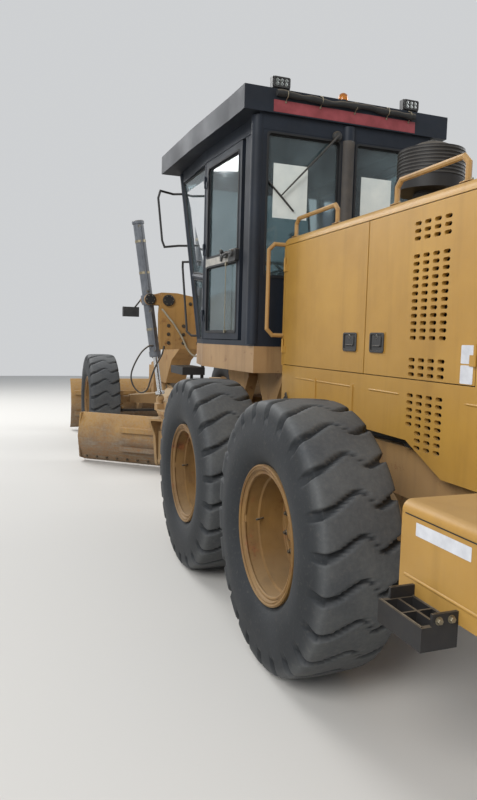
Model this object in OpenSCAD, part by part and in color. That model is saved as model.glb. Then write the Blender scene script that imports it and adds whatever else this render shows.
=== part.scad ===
// Motor grader: articulated frame, six wheels, circle-mounted blade and a front dozer blade.
// Millimetres. Lengths along the machine are written from the rear tandem wheel's centre, X forward,
// Y to the left, Z up from the ground. place() then moves everything so that the origin is on the
// ground at the middle of the machine's length.

/* [Machine] */
// Rearmost point of the machine, behind the rear tandem wheel
rear_end = -1750; // [-1900:10:-1740]
// Foremost point of the machine, the edges of the dozer blade
front_end = 8600; // [8500:10:8800]
// Distance between the two tandem wheels on one side
tandem_pitch = 1538; // [1480:1:1600]
// Front axle ahead of the rear tandem wheel
front_axle_x = 7000; // [6950:10:7100]
// Wheel centre out from the machine's middle plane
track_half = 1085; // [1075:1:1100]
// Articulation pin ahead of the rear tandem wheel
hinge_x = 2750; // [2730:5:2770]

/* [Tyres and rims] */
// Tyre diameter over the lugs
tyre_d = 1380; // [1340:2:1400]
// Tyre width
tyre_w = 444; // [420:2:450]
// Lugs round one tyre
lug_n = 23; // [16:1:26]
// Groove depth at the shoulders
lug_h = 30; // [15:1:40]
// Bead seat diameter of the rim
rim_seat_d = 635; // [600:1:640]
// Outside diameter of the rim's flanges
rim_flange_d = 711; // [690:1:720]
// Rim plate thickness
rim_t = 14; // [10:1:18]

/* [Hood] */
// Hood width
hood_w = 1100; // [1040:2:1110]
// Height of the hood's top above the ground
hood_top = 2420; // [2380:2:2480]
// Height of the seam between the hood doors and the lower panels
hood_seam = 1490; // [1450:2:1520]
// Front of the hood
hood_front = 1460; // [1430:2:1470]
// Rear of the hood
hood_rear = -1620; // [-1660:2:-1560]
// Sheet and frame thickness of hood, doors and panels
panel_t = 25; // [18:1:32]
// Gap round a door or a lid
door_gap = 5; // [4:0.5:8]
// Line where the two side doors meet
door_split = 300; // [250:5:350]
// Rear edge of the rear side door
door_rear = -640; // [-700:5:-600]
// Depth of the hood's top beam over the doors
hood_beam = 60; // [50:1:90]

/* [Cab] */
// Underside of the cab's base
cab_base_z = 1420; // [1400:5:1440]
// Floor of the cab, where the walls start
cab_floor_z = 1620; // [1600:5:1640]
// Underside of the roof
cab_roof_z = 3310; // [3250:5:3350]
// Height of the roof slab
roof_t = 170; // [150:5:190]
// Thickness of posts and walls
post_t = 60; // [45:1:70]
// Glass thickness
glass_t = 8; // [6:1:12]
// How far the windscreen leans forward at its top
screen_lean = 360; // [300:5:400]

/* [Front frame] */
// Width of the gooseneck's box section
neck_w = 300; // [260:2:320]
// Articulation pin radius
hinge_pin_r = 45; // [38:1:50]
// Lift cylinder trunnion above the ground
yoke_z = 2100; // [2080:5:2120]
// Lift cylinder trunnion out from the middle
yoke_y = 870; // [850:5:890]
// Station of the lift cylinders
lift_x = 4650; // [4640:5:4660]
// Lift cylinder barrel radius
barrel_r = 60; // [50:1:65]
// Lift cylinder rod radius
rod_r = 30; // [24:1:34]

/* [Circle and blade] */
// Centre of the circle
circle_x = 4450; // [4440:5:4460]
// Outside radius of the ring under its flange
circle_r = 725; // [700:5:735]
// Teeth inside the ring
tooth_n = 64; // [48:4:80]
// Underside of the ring
circle_z = 690; // [685:1:700]
// Blade length
blade_len = 3965; // [3600:5:3970]
// Blade height without its cutting edge
blade_h = 610; // [580:2:620]
// Radius of the blade's hollow face
blade_r = 480; // [440:5:520]
// Blade plate thickness
blade_t = 22; // [16:1:26]
// Cutting edge above the ground at rest
blade_clear = 20; // [5:1:30]
// Blade turned on the circle at rest, left end leading
blade_yaw = 40; // [30:1:45]
// Blade arms out from the circle's centre
arm_u = 640; // [600:5:660]

/* [Dozer blade] */
// Width of the front dozer blade
dozer_w = 2740; // [2600:10:2760]
// Height of the dozer blade
dozer_h = 850; // [780:5:880]
// Dozer blade above the ground
dozer_clear = 50; // [30:5:80]

/* [Hidden] */

YELLOW = "#c79a4b";
NAVY = "#22303f";
DARK = "#2c2d2f";
TAN = "#b07f52";
STEEL = "#9a9a98";

// Clearances: flat seats, running pins and sliding grips
seat_gap = 0.3;
run_gap = 0.05;
grip_gap = 0.6;

origin_x = (rear_end + front_end) / 2;
wheel_z = tyre_d / 2;
station = [0, tandem_pitch, front_axle_x];

module place() translate([-origin_x, 0, 0]) children();
// side = 1 is the left of the machine, side = -1 its mirror image on the right
module on_side(side) mirror([0, side < 0 ? 1 : 0, 0]) children();
// A plate drawn in the side view (X, Z) and given its width across the machine
module side_plate(y0, y1) translate([0, y1, 0]) rotate([90, 0, 0]) linear_extrude(y1 - y0) children();
// A plate drawn in the end view (Y, Z) and given its length along the machine
module end_plate(x0, x1)
  translate([x0, 0, 0]) rotate([90, 0, 90]) linear_extrude(x1 - x0) children();
module box(x, y, z) translate([x[0], y[0], z[0]]) cube([x[1] - x[0], y[1] - y[0], z[1] - z[0]]);
module pin_x(x0, x1, r) translate([x0, 0, 0]) rotate([0, 90, 0]) cylinder(h = x1 - x0, r = r, $fn = 40);
module pin_y(y0, y1, r) translate([0, y1, 0]) rotate([90, 0, 0]) cylinder(h = y1 - y0, r = r, $fn = 40);
// A rectangle with true round corners, from its centre
module soft_rect(w, h, r) {
  square([w, h - 2 * r], center = true);
  square([w - 2 * r, h], center = true);
  for (sx = [-1, 1], sy = [-1, 1])
    translate([sx * (w / 2 - r), sy * (h / 2 - r)]) circle(r, $fn = 24);
}
// A round bar between two points
module bar(a, b, r) {
  d = b - a;
  translate(a) rotate([0, acos(d[2] / norm(d)), atan2(d[1], d[0])]) cylinder(h = norm(d), r = r, $fn = 24);
}
// A bent tube through a list of points: eight sides, mitred at each bend
TUBE_SIDES = 8;
function unit(v) = v / norm(v);
function mitred(ring, d, p, n) = [for (q = ring) q + d * (((p - q) * n) / (d * n))];
module tube_path(p, r) {
  last = len(p) - 1;
  dirs = [for (i = [0 : last - 1]) unit(p[i + 1] - p[i])];
  normals = [for (i = [0 : last]) i == 0 ? dirs[0] : i == last ? dirs[last - 1] : unit(dirs[i - 1] + dirs[i])];
  u = unit(cross(dirs[0], abs(dirs[0][2]) < 0.9 ? [0, 0, 1] : [1, 0, 0]));
  w = cross(dirs[0], u);
  start = [for (k = [0 : TUBE_SIDES - 1]) let (a = 360 * k / TUBE_SIDES) p[0] + r * (cos(a) * u + sin(a) * w)];
  rings = [for (i = 0, ring = start; i <= last;
    ring = i < last ? mitred(ring, dirs[i], p[i + 1], normals[i + 1]) : ring, i = i + 1) ring];
  faces = [
    [for (k = [0 : TUBE_SIDES - 1]) k],
    [for (k = [TUBE_SIDES - 1 : -1 : 0]) last * TUBE_SIDES + k],
    for (i = [0 : last - 1], k = [0 : TUBE_SIDES - 1])
      let (a = i * TUBE_SIDES, b = a + TUBE_SIDES, j = (k + 1) % TUBE_SIDES) [b + k, b + j, a + j, a + k]];
  polyhedron([for (ring = rings, q = ring) q], faces);
}

// Door hinges: axis outside the face, knuckle radius, height of one knuckle and the leaf's thickness
pin_out = 9;
knuckle_r = 8;
knuckle_h = 50;
leaf_t = 6;
// One half of an upright hinge from its axis; way is the side along X on which its leaf lies
module hinge_half(way, leaf, back) {
  cylinder(h = knuckle_h, r = knuckle_r, $fn = 24);
  translate([way > 0 ? 0 : -leaf, -pin_out - back, 0]) cube([leaf, back + leaf_t, knuckle_h]);
}

// Tyres

// One ring of a tyre: height from the axle, place across, and how deep the grooves cut it
// Columns: radius, y, groove depth, groove lead as a share of the pitch
function tyre_ring() = let (
  r = tyre_d / 2,
  y = tyre_w / 2,
  // The flats between stations just clear the rim's seat
  bead_r = (rim_seat_d / 2 + 0.2) / cos(180 * LUG_EDGES[1][0] / lug_n)) [
  [bead_r, -y + 72, 0, 0],
  [r * 0.68, -y, 0, 0],
  [r - 8, -y + 22, lug_h, 0],
  [r, 0, lug_h / 3, -lug_lead],
  [r - 8, y - 22, lug_h, 0],
  [r * 0.68, y, 0, 0],
  [bead_r, y - 72, 0, 0]];
// How far the middle of a lug runs ahead of its ends, as a share of the pitch
lug_lead = 0.3;
// A pitch has three stations: the lug's two edges and the groove between lugs
LUG_EDGES = [[0, 0], [0.68, 0], [0.84, 1]];

module tyre() {
  ring = tyre_ring();
  n = len(ring);
  m = lug_n * 3;
  points = [
    for (i = [0 : m - 1], q = ring)
      let (
        e = LUG_EDGES[i % 3],
        a = 360 * (floor(i / 3) + e[0] + q[3] + lug_lead) / lug_n - 90,
        rr = q[0] - q[2] * e[1])
      [rr * cos(a), q[1], rr * sin(a)]];
  faces = [
    for (i = [0 : m - 1], k = [0 : n - 1])
      let (a = i * n + k, b = i * n + (k + 1) % n, c = ((i + 1) % m) * n)
      each [[a, c + (k + 1) % n, b], [a, c + k, c + (k + 1) % n]]];
  color(DARK) polyhedron(points, faces);
}

// Rims

disc_y = -65;
hub_y = -150;
hub_r = 130;

// The outer side of the wheel is +Y
module rim() {
  seat = rim_seat_d / 2 - 0.2;
  flange = rim_flange_d / 2;
  f0 = tyre_w / 2 - 52;
  f1 = tyre_w / 2 - 36;
  color(YELLOW) rotate([-90, 0, 0]) rotate_extrude($fn = 72)
    polygon([
      [seat - rim_t - 10, -f1], [flange, -f1], [flange, -f0], [seat, -f0], [seat, f0], [flange, f0],
      [flange, f1], [flange - 18, f1], [seat - rim_t + 8, f1 - 24], [seat - rim_t, 95],
      [seat - rim_t - 12, 88], [seat - rim_t - 16, disc_y + 16], [hub_r + 20, disc_y + 34],
      [hub_r - 20, disc_y + 34], [hub_r - 30, disc_y + 60], [0, disc_y + 60], [0, hub_y],
      [hub_r, hub_y], [hub_r, disc_y + 4], [seat - rim_t - 20, disc_y - 14], [seat - rim_t - 10, disc_y - 30]]);
}

module wheel_at(i, side) translate([station[i], side * track_half, wheel_z]) on_side(side) children();

// Rear frame

rail_y = [400, 480];
rail_z = [850, 1120];
plate_t = 40;
rear_plate_x = [rear_end + 90, rear_end + 130];
artic_y = 330;
artic_z = 985;
artic_r = 48;
artic_rod_r = 25;
// Towing clevis: bore, its place along and the two ears
hitch_r = 20;
hitch_x = rear_end + 45;
hitch_z = [780, 860];
hitch_t = 30;
// Four bolt holes in the rear plate, for a ripper or a counterweight
bolt_y = 380;
bolt_z = [740, 1060];
bolt_r = 13;

module hinge_plate(z0)
  translate([0, 0, z0]) linear_extrude(plate_t) {
    polygon([[hinge_x - 420, -rail_y[1]], [hinge_x - 190, -rail_y[1]], [hinge_x + 20, -115], [hinge_x + 20, 115],
      [hinge_x - 190, rail_y[1]], [hinge_x - 420, rail_y[1]]]);
    translate([hinge_x, 0]) circle(120, $fn = 48);
  }

// Tapered pedestal that carries the cab, seen from the side
CAB_FEET = [2340, 1830];
module cab_pedestal(x, y)
  side_plate(y, y + 90)
    polygon([[x - 250, cab_base_z - seat_gap], [x - 250, cab_base_z - 60], [x - 70, 1080], [x - 50, 1000],
      [x + 60, 1000], [x + 70, 1080], [x + 260, cab_base_z - 60], [x + 260, cab_base_z - seat_gap]]);

module rear_chassis() color(YELLOW) {
  for (s = [-1, 1]) on_side(s) {
    box([rear_plate_x[0], hinge_x - 150], rail_y, rail_z);
    cab_pedestal(CAB_FEET[0], rail_y[1] - 6);
    cab_pedestal(CAB_FEET[1], rail_y[0] - 6);
    // Carriers of the side boxes
    for (x = [-1640, -1120]) box([x, x + 60], [rail_y[1] - 5, 1080], [box_z[0] - 55, box_z[0]]);
    for (x = [-1640, -1120]) box([x, x + 60], [rail_y[1] - 5, 560], [box_z[0] - 55, 1000]);
    // Barrel of the steering-joint cylinder with its bracket on the rail
    translate([0, artic_y, artic_z]) difference() {
      union() {
        pin_x(1700, 2380, artic_r);
        pin_x(2340, 2385, artic_r + 8);
      }
      pin_x(1850, 2390, artic_rod_r + run_gap);
    }
    box([1700, 1760], [artic_y + 30, rail_y[0] + 5], [artic_z - 40, artic_z + 40]);
  }
  difference() {
    box(rear_plate_x, [-520, 520], [660, 1140]);
    for (y = [-bolt_y, bolt_y], z = bolt_z) translate([0, y, z]) pin_x(rear_plate_x[0] - 10, rear_plate_x[1] + 10, bolt_r);
  }
  for (x = [-1300, -300, 300, 1150, 2150]) box([x, x + 80], [-rail_y[0] - 5, rail_y[0] + 5], [860, 905]);
  hinge_plate(rail_z[0] - plate_t);
  hinge_plate(rail_z[1]);
  translate([hinge_x, 0, rail_z[0] - plate_t - 30]) cylinder(h = rail_z[1] - rail_z[0] + 2 * plate_t + 60, r = hinge_pin_r, $fn = 48);
  // Towing clevis behind the rear plate
  difference() {
    for (z = hitch_z) box([rear_end, rear_plate_x[0] + 5], [-70, 70], [z, z + hitch_t]);
    translate([hitch_x, 0, hitch_z[0] - 20]) cylinder(h = 160, r = hitch_r, $fn = 40);
  }
  // Saddles that sit on the axle beam
  difference() {
    for (s = [-1, 1]) on_side(s)
      box([tandem_pitch / 2 - 160, tandem_pitch / 2 + 160], [rail_y[0] - 20, rail_y[1] + 20], [wheel_z + 60, rail_z[0] + 5]);
    translate([tandem_pitch / 2, 0, wheel_z]) pin_y(-600, 600, beam_r + seat_gap);
  }
}

module engine() color("#8a8c8f") {
  z = rail_z[1] + seat_gap;
  box([-150, 1050], [-430, 430], [z, z + 60]);
  box([-100, 1000], [-300, 300], [z + 50, z + 720]);
  box([60, 860], [-190, 190], [z + 700, z + 860]);
  // Radiator core and shroud, on the rails
  box([-1480, -1330], [-470, 470], [z, z + 1120]);
  translate([-1335, 0, z + 620]) difference() {
    pin_x(0, 110, 420);
    pin_x(20, 120, 395);
  }
  translate([-1320, 0, z + 620]) pin_x(0, 60, 110);
  for (k = [0 : 5]) translate([-1305, 0, z + 620]) rotate([60 * k, 0, 0]) rotate([0, 0, 20])
    translate([0, -45, 90]) cube([10, 90, 270]);
  translate([-1290, 0, z + 620]) pin_x(0, 1200, 34);
}

// Tandem axle: cross beam, gear housing, two long cases and the wheel drives
case_y = [590, 790];
case_r = 235;
beam_r = 150;

module tandem_axle() color(YELLOW) translate([0, 0, wheel_z]) {
  mid = tandem_pitch / 2;
  translate([mid, 0, 0]) pin_y(-case_y[0] - 5, case_y[0] + 5, beam_r);
  translate([mid, 0, 0]) pin_y(-210, 210, 255);
  translate([mid - 130, 0, 0]) pin_x(0, 520, 120);
  for (s = [-1, 1]) on_side(s) {
    translate([0, case_y[1], 0]) rotate([90, 0, 0]) linear_extrude(case_y[1] - case_y[0]) {
      for (x = [0, tandem_pitch]) translate([x, 0]) circle(case_r, $fn = 48);
      translate([0, -case_r]) square([tandem_pitch, 2 * case_r]);
      translate([mid - 260, -case_r - 35]) square([520, 2 * case_r + 70]);
    }
    translate([mid, 0, 0]) pin_y(case_y[1] - 5, case_y[1] + 40, 170);
    for (x = [0, tandem_pitch]) translate([x, 0, 0]) {
      pin_y(case_y[1] - 5, track_half + hub_y - seat_gap, 118);
      pin_y(case_y[1] - 5, case_y[1] + 60, 165);
    }
  }
}

// Hood

// Lowest points of the doors' hinges, and the hinge lines at the outer edges of the doors
HOOD_HINGES = [hood_seam + 90, hood_top - 250];
front_hinge_x = hood_front - panel_t - door_gap / 2;
rear_hinge_x = door_rear + door_gap / 2;

module hood_shell() color(YELLOW) {
  z0 = hood_seam;
  difference() {
    end_plate(hood_rear, hood_front) difference() {
      union() {
        translate([-hood_w / 2, z0]) square([hood_w, hood_top - z0 - 60]);
        translate([0, hood_top - 60]) square([hood_w - 120, 120], center = true);
        for (s = [-1, 1]) translate([s * (hood_w / 2 - 60), hood_top - 60]) circle(60, $fn = 32);
      }
      translate([-hood_w / 2 + panel_t, z0 - 10]) square([hood_w - 2 * panel_t, hood_top - z0 - panel_t - 25]);
    }
    for (s = [-1, 1]) on_side(s)
      box([door_rear, hood_front - panel_t], [hood_w / 2 - panel_t - 20, hood_w / 2 + 20], [z0 - 5, hood_top - hood_beam]);
  }
  // Front wall with its posts, and the post between the doors
  box([hood_front - panel_t, hood_front], [-hood_w / 2 + 5, hood_w / 2 - 5], [z0, hood_top - 60]);
  for (s = [-1, 1]) on_side(s) {
    box([door_split - 30, door_split + 30], [hood_w / 2 - panel_t - 45, hood_w / 2 - panel_t - 6], [z0, hood_top - 40]);
    box([hood_rear, hood_front], [hood_w / 2 - panel_t - 45, hood_w / 2 - panel_t - 6], [z0, z0 + 40]);
  }
  box([hood_rear, hood_rear + panel_t], [-hood_w / 2 + 5, hood_w / 2 - 5], [hood_top - 140, hood_top - 40]);
  for (s = [-1, 1], z = HOOD_HINGES) on_side(s) {
    translate([front_hinge_x, hood_w / 2 + pin_out, z + knuckle_h + seat_gap]) hinge_half(1, 24, 1);
    translate([rear_hinge_x, hood_w / 2 + pin_out, z + knuckle_h + seat_gap]) hinge_half(-1, 24, 1);
  }
}

// Slots: columns and rows from a corner, for the doors and the lower panels
slot_w = 52;
slot_h = 20;
slot_dx = 78;
slot_dz = 37;
slot_c = 7;
// One slot with its corners taken off
module slot() {
  w = slot_w / 2;
  h = slot_h / 2;
  polygon([[-w, -h + slot_c], [-w + slot_c, -h], [w - slot_c, -h], [w, -h + slot_c],
    [w, h - slot_c], [w - slot_c, h], [-w + slot_c, h], [-w, h - slot_c]]);
}
module slots(x, z, cols, rows)
  for (i = [0 : cols - 1], j = [0 : rows - 1]) translate([x - i * slot_dx, z + j * slot_dz]) slot();

// Vent groups on the rear door: height of the lowest slot, rows
DOOR_VENTS = [[1518, 3], [1703, 12], [2198, 3]];
// Vent groups on the lower panel: first slot's place along, lowest slot, columns, rows
PANEL_VENTS = [[-160, 1262, 4, 5], [-238, 1150, 3, 3]];

panel_top = hood_seam - seat_gap;
module lower_panels() color(YELLOW) {
  for (s = [-1, 1]) on_side(s) {
    side_plate(hood_w / 2 - panel_t, hood_w / 2) difference() {
      polygon([[hood_front - 20, 1190], [hood_front - 20, panel_top], [hood_rear, panel_top],
        [hood_rear, 1180], [-960, 1180], [-960, 1030], [-440, 1030], [-140, 1175]]);
      for (g = PANEL_VENTS) slots(g[0], g[1], g[2], g[3]);
    }
    for (x = [-700, 500, 1300])
      box([x, x + 40], [rail_y[1] + seat_gap, hood_w / 2 - panel_t + 2], [1060, 1110]);
    for (x = [-700, 500, 1300])
      box([x, x + 40], [hood_w / 2 - panel_t - 20, hood_w / 2 - panel_t + 2], [1060, 1300]);
    // Pressed ribs
    for (x = [420, 900]) side_plate(hood_w / 2 - 4, hood_w / 2 + 6)
      translate([x, 1335]) soft_rect(28, 180, 13);
  }
}

module rear_grille() color(DARK) {
  x = [hood_rear - 30, hood_rear - seat_gap];
  z = [hood_seam, hood_top - 70];
  difference() {
    box(x, [-hood_w / 2 + 10, hood_w / 2 - 10], z);
    box([x[0] - 5, x[1] + 5], [-hood_w / 2 + 90, hood_w / 2 - 90], [z[0] + 80, z[1] - 80]);
  }
  for (k = [0 : 13]) box([x[0] + 6, x[1] - 4], [-hood_w / 2 + 80, hood_w / 2 - 80], [z[0] + 110 + k * 52, z[0] + 128 + k * 52]);
  for (s = [-1, 1]) box([x[0] + 8, x[1] - 6], [s * 150 - 12, s * 150 + 12], [z[0] + 70, z[1] - 70]);
}

// Rails on the hood's top, as feet stations and a height
TOP_RAILS = [[1400, 790], [130, -440]];
rail_tube = 15;
module hood_rails() color(YELLOW) {
  y = hood_w / 2 - 60;
  for (s = [-1, 1]) on_side(s) {
    for (f = TOP_RAILS)
      tube_path([[f[0], y, hood_top + seat_gap], [f[0], y, hood_top + 90], [f[0] - 35, y, hood_top + 125],
        [f[1] + 35, y, hood_top + 125], [f[1], y, hood_top + 90], [f[1], y, hood_top + seat_gap]], rail_tube);
    // Upright handrail on the hood's front corner
    x = hood_front - 7;
    foot = hood_w / 2 + seat_gap;
    out = hood_w / 2 + 130;
    tube_path([[x, foot, 1706], [x, out - 45, 1706], [x, out, 1751], [x, out, 2320], [x, out - 45, 2365], [x, foot, 2365]],
      rail_tube);
  }
}

module stacks() color("#1f2022") {
  z = hood_top + seat_gap;
  translate([520, 0, z]) cylinder(h = 190, r = 95, $fn = 40);
  translate([520, 0, z + 185]) cylinder(h = 60, r = 215, $fn = 48);
  translate([520, 0, z + 240]) cylinder(h = 190, r = 200, $fn = 48);
  translate([520, 0, z + 425]) cylinder(h = 50, r1 = 190, r2 = 90, $fn = 48);
  // Exhaust pipe
  translate([950, -300, z]) cylinder(h = 60, r = 75, $fn = 36);
  translate([950, -300, z + 50]) difference() {
    cylinder(h = 330, r = 48, $fn = 36);
    translate([0, 0, 60]) cylinder(h = 300, r = 42, $fn = 36);
  }
}

// Side boxes at the rear
box_x = [-1700, -1000];
box_y = [585, 1150];
box_z = [785, 1115];
lid_t = 45;
module side_box_left() {
  top = box_z[1] - lid_t - seat_gap;
  difference() {
    box(box_x, box_y, [box_z[0] + seat_gap, top]);
    box([box_x[0] + 20, box_x[1] - 20], [box_y[0] + 20, box_y[1] - 20], [box_z[0] + 20, top + 10]);
  }
}
// Hinges of the lid: rolls on one line, two on the lid, each with one beside it on the box
lid_axis = [box_y[0] + 15, box_z[1]];
LID_ROLLS = [-1620, -1160];
roll_l = 40;
roll_r = 9;
module lid_roll(x) translate([x, lid_axis[0], lid_axis[1]]) rotate([0, 90, 0]) cylinder(h = roll_l, r = roll_r, $fn = 24);
module side_boxes() color(YELLOW) for (s = [-1, 1]) on_side(s) {
  side_box_left();
  for (x = LID_ROLLS) {
    lid_roll(x + roll_l + 2);
    box([x + roll_l + 2, x + 2 * roll_l + 2], [box_y[0] + 4, lid_axis[0] - 4], [box_z[1] - lid_t - 20, box_z[1]]);
  }
}
module box_lid(side) color(YELLOW) on_side(side) {
  r = 38;
  z0 = box_z[1] - lid_t;
  difference() {
    end_plate(box_x[0], box_x[1]) {
      translate([lid_axis[0], z0]) square([box_y[1] - lid_axis[0] - r, lid_t]);
      intersection() {
        translate([box_y[1] - r, box_z[1] - r]) circle(r, $fn = 32);
        translate([box_y[1] - r - 5, z0]) square([r + 10, lid_t]);
      }
    }
    // Room for the box's own rolls
    for (x = LID_ROLLS)
      box([x + roll_l, x + 2 * roll_l + 4], [lid_axis[0] - 5, lid_axis[0] + 14], [box_z[1] - 14, box_z[1] + 5]);
  }
  for (x = LID_ROLLS) lid_roll(x);
}

// Steps
module step_tray(x, y, z, n) {
  w = x[1] - x[0];
  difference() {
    box(x, y, [z, z + 70]);
    box([x[0] + 12, x[1] - 12], [y[0] + 12, y[1] - 12], [z - 5, z + 75]);
  }
  for (k = [1 : n]) box([x[0] + w * k / (n + 1) - 8, x[0] + w * k / (n + 1) + 8], [y[0] + 6, y[1] - 6], [z + 35, z + 70]);
}
// Small step on the outer face of the side box, with four openings and two cheeks
module box_step(x, y, z) {
  difference() {
    box(x, y, z);
    for (i = [0, 1], j = [0, 1])
      box([x[0] + 18 + i * 108, x[0] + 118 + i * 108], [y[0] + 12 + j * 62, y[0] + 64 + j * 62], [z[0] - 5, z[1] + 5]);
  }
  for (e = [x[0], x[1] - 12]) box([e, e + 12], [y[0], y[1] - 40], [z[0], z[1] + 40]);
}
module steps() color(DARK) for (s = [-1, 1]) on_side(s) {
  box_step([-1330, -1085], [box_y[1] + seat_gap, box_y[1] + 140], [box_z[0] - 75, box_z[0] + 5]);
  step_tray([2660, 3080], [770, 980], 1335, 6);
  for (x = [2680, 3020]) box([x, x + 25], [775, 800], [1060, 1340]);
  box([2560, 3060], [775, 990], [1050, 1066]);
  box([2680, 2720], [770, 790], [1400, cab_base_z - seat_gap]);
}

// Cab: plan of the left side, from the rear middle to the front
CAB_PLAN = [[1560, 735], [1850, 750], [2650, 800], [3200, 690]];
screen_top = [CAB_PLAN[3][0] + screen_lean, 800];
sill_h = 40;
header_h = 110;

// A plan with its right half mirrored, moved inwards by d all round
function inset_plan(plan, d) = let (half = [for (q = plan) [q[0] < 2300 ? q[0] + d : q[0] - d, q[1] - d]])
  concat(half, [for (i = [len(half) - 1 : -1 : 0]) [half[i][0], -half[i][1]]]);

module cab_base() color(TAN) translate([0, 0, cab_base_z]) {
  h = cab_floor_z - cab_base_z;
  difference() {
    linear_extrude(h) polygon(inset_plan(CAB_PLAN, 0));
    translate([0, 0, -1]) linear_extrude(h - 24) polygon(inset_plan(CAB_PLAN, 50));
  }
  for (s = [-1, 1]) on_side(s) for (x = CAB_FEET)
    box([x - 250, x + 260], [rail_y[0] - 6, rail_y[1] + 84], [0, h - 10]);
}

// A leaning post between two points: the same level section at both ends
POST_SIDES = 12;
module post(a, b, t) {
  n = POST_SIDES;
  ring = [for (k = [0 : n - 1]) t / 2 * [cos(360 * (k + 0.5) / n), sin(360 * (k + 0.5) / n), 0]];
  polyhedron(
    [for (q = ring) a + q, for (q = ring) b + q],
    [[for (k = [0 : n - 1]) k], [for (k = [n - 1 : -1 : 0]) n + k],
      for (k = [0 : n - 1]) let (j = (k + 1) % n) [k, n + k, n + j, j]]);
}
// A straight wall panel between two plan points, drawn as (along, up)
module wall(a, b, t) translate([a[0], a[1], 0]) rotate([0, 0, atan2(b[1] - a[1], b[0] - a[0])])
  rotate([90, 0, 0]) linear_extrude(t) children();

// Hinge line of the cab doors and the lowest points of their hinges
cab_hinge_x = CAB_PLAN[2][0] - 6;
cab_hinge_y = CAB_PLAN[2][1] + pin_out;
CAB_HINGES = [cab_floor_z + 200, cab_floor_z + 780, cab_floor_z + 1360];
// Middle of the leaning front post at a height
front_post_d = 80;
function post_at(z) = let (k = (z - cab_floor_z) / (cab_roof_z - cab_floor_z))
  [CAB_PLAN[3][0] - 35 + screen_lean * k, CAB_PLAN[3][1] - 35 + (screen_top[1] - CAB_PLAN[3][1]) * k, z];

HEAD_PLAN = [CAB_PLAN[0], CAB_PLAN[1], CAB_PLAN[2], screen_top + [-10, -20]];
post_grip = 15;
// A ring that follows a plan of the cab, as wide as its posts are thick
module cab_ring(plan, height) linear_extrude(height) difference() {
  polygon(inset_plan(plan, 0));
  polygon(inset_plan(plan, post_t));
}
// A round post that grips both rings; its seam line is turned to where no ring runs
module cab_post(spot, r, seam) translate([spot[0], spot[1], cab_floor_z + seat_gap + post_grip])
  rotate([0, 0, seam]) cylinder(h = cab_roof_z - cab_floor_z - 2 * seat_gap - 2 * post_grip, r = r, $fn = 32);
module cab_frame() color(NAVY) {
  z0 = cab_floor_z + seat_gap;
  z1 = cab_roof_z - seat_gap;
  back = CAB_PLAN[0][0];
  // Ring on the cab base, and ring under the roof
  translate([0, 0, z0]) cab_ring(CAB_PLAN, sill_h);
  translate([0, 0, z1 - header_h]) cab_ring(HEAD_PLAN, header_h);
  // Rear wall with two windows
  difference() {
    box([back + 2, back + post_t - 2], [-CAB_PLAN[0][1], CAB_PLAN[0][1]], [z0 + post_grip, z1 - post_grip]);
    for (s = [-1, 1]) on_side(s) box([back - 10, back + 80], [70, CAB_PLAN[0][1] - 70], [z0 + 520, z1 - 130]);
  }
  cab_post([back + 15, 0], 50, 0);
  for (s = [-1, 1]) on_side(s) {
    // Rear corner post, rear side panel and door post
    cab_post(CAB_PLAN[0] + [45, -5], 50, 120);
    wall(CAB_PLAN[0] + [10, -5], CAB_PLAN[1] + [-10, -5], post_t - 20)
      translate([0, z0 + post_grip]) square([norm(CAB_PLAN[1] - CAB_PLAN[0]) - 50, z1 - z0 - 2 * post_grip]);
    cab_post(CAB_PLAN[1] + [-35, -52], 42, -60);
    // Front door post and the leaning front post
    cab_post(CAB_PLAN[2] + [40, -42], 38, -90);
    post(post_at(z0 + post_grip), post_at(z1 - post_grip), front_post_d);
    for (z = CAB_HINGES)
      translate([cab_hinge_x, cab_hinge_y, z + knuckle_h + seat_gap]) hinge_half(1, 50, 14);
    // Bar across the quarter window
    tube_path([[CAB_PLAN[2][0] + 45, CAB_PLAN[2][1] - 42, z0 + 590], post_at(z0 + 660)], 30);
  }
  // Windscreen sill
  box([CAB_PLAN[3][0] - 55, CAB_PLAN[3][0] - 8], [-CAB_PLAN[3][1] + 50, CAB_PLAN[3][1] - 50], [z0 + 10, z0 + 60]);
}

ROOF_PLAN = [[1530, 870], [1830, 880], [2650, 930], [3660, 960]];
roof_top = cab_roof_z + roof_t;
gutter = 25;
module cab_roof() color(NAVY) translate([0, 0, cab_roof_z]) {
  difference() {
    linear_extrude(roof_t) polygon(inset_plan(ROOF_PLAN, 0));
    // Shallow gutter round the top
    translate([0, 0, roof_t - gutter]) linear_extrude(gutter + 10) polygon(inset_plan(ROOF_PLAN, 60));
  }
}

// Flat panes that stand in the openings with a small gap
module cab_glass() color("#9fb4bd") {
  z0 = cab_floor_z + seat_gap;
  z1 = cab_roof_z - seat_gap;
  for (s = [-1, 1]) on_side(s)
    box([CAB_PLAN[0][0] + 26, CAB_PLAN[0][0] + 26 + glass_t], [70 + seat_gap, CAB_PLAN[0][1] - 70 - seat_gap], [z0 + 520 + seat_gap, z1 - 130 - seat_gap]);
  // Windscreen, leaning with the front posts
  a = atan2(screen_lean, z1 - z0);
  translate([CAB_PLAN[3][0] - 30, 0, z0 + 62]) rotate([0, a, 0]) translate([0, -610, 0])
    cube([glass_t, 1220, (z1 - z0 - 180) / cos(a)]);
}

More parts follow.
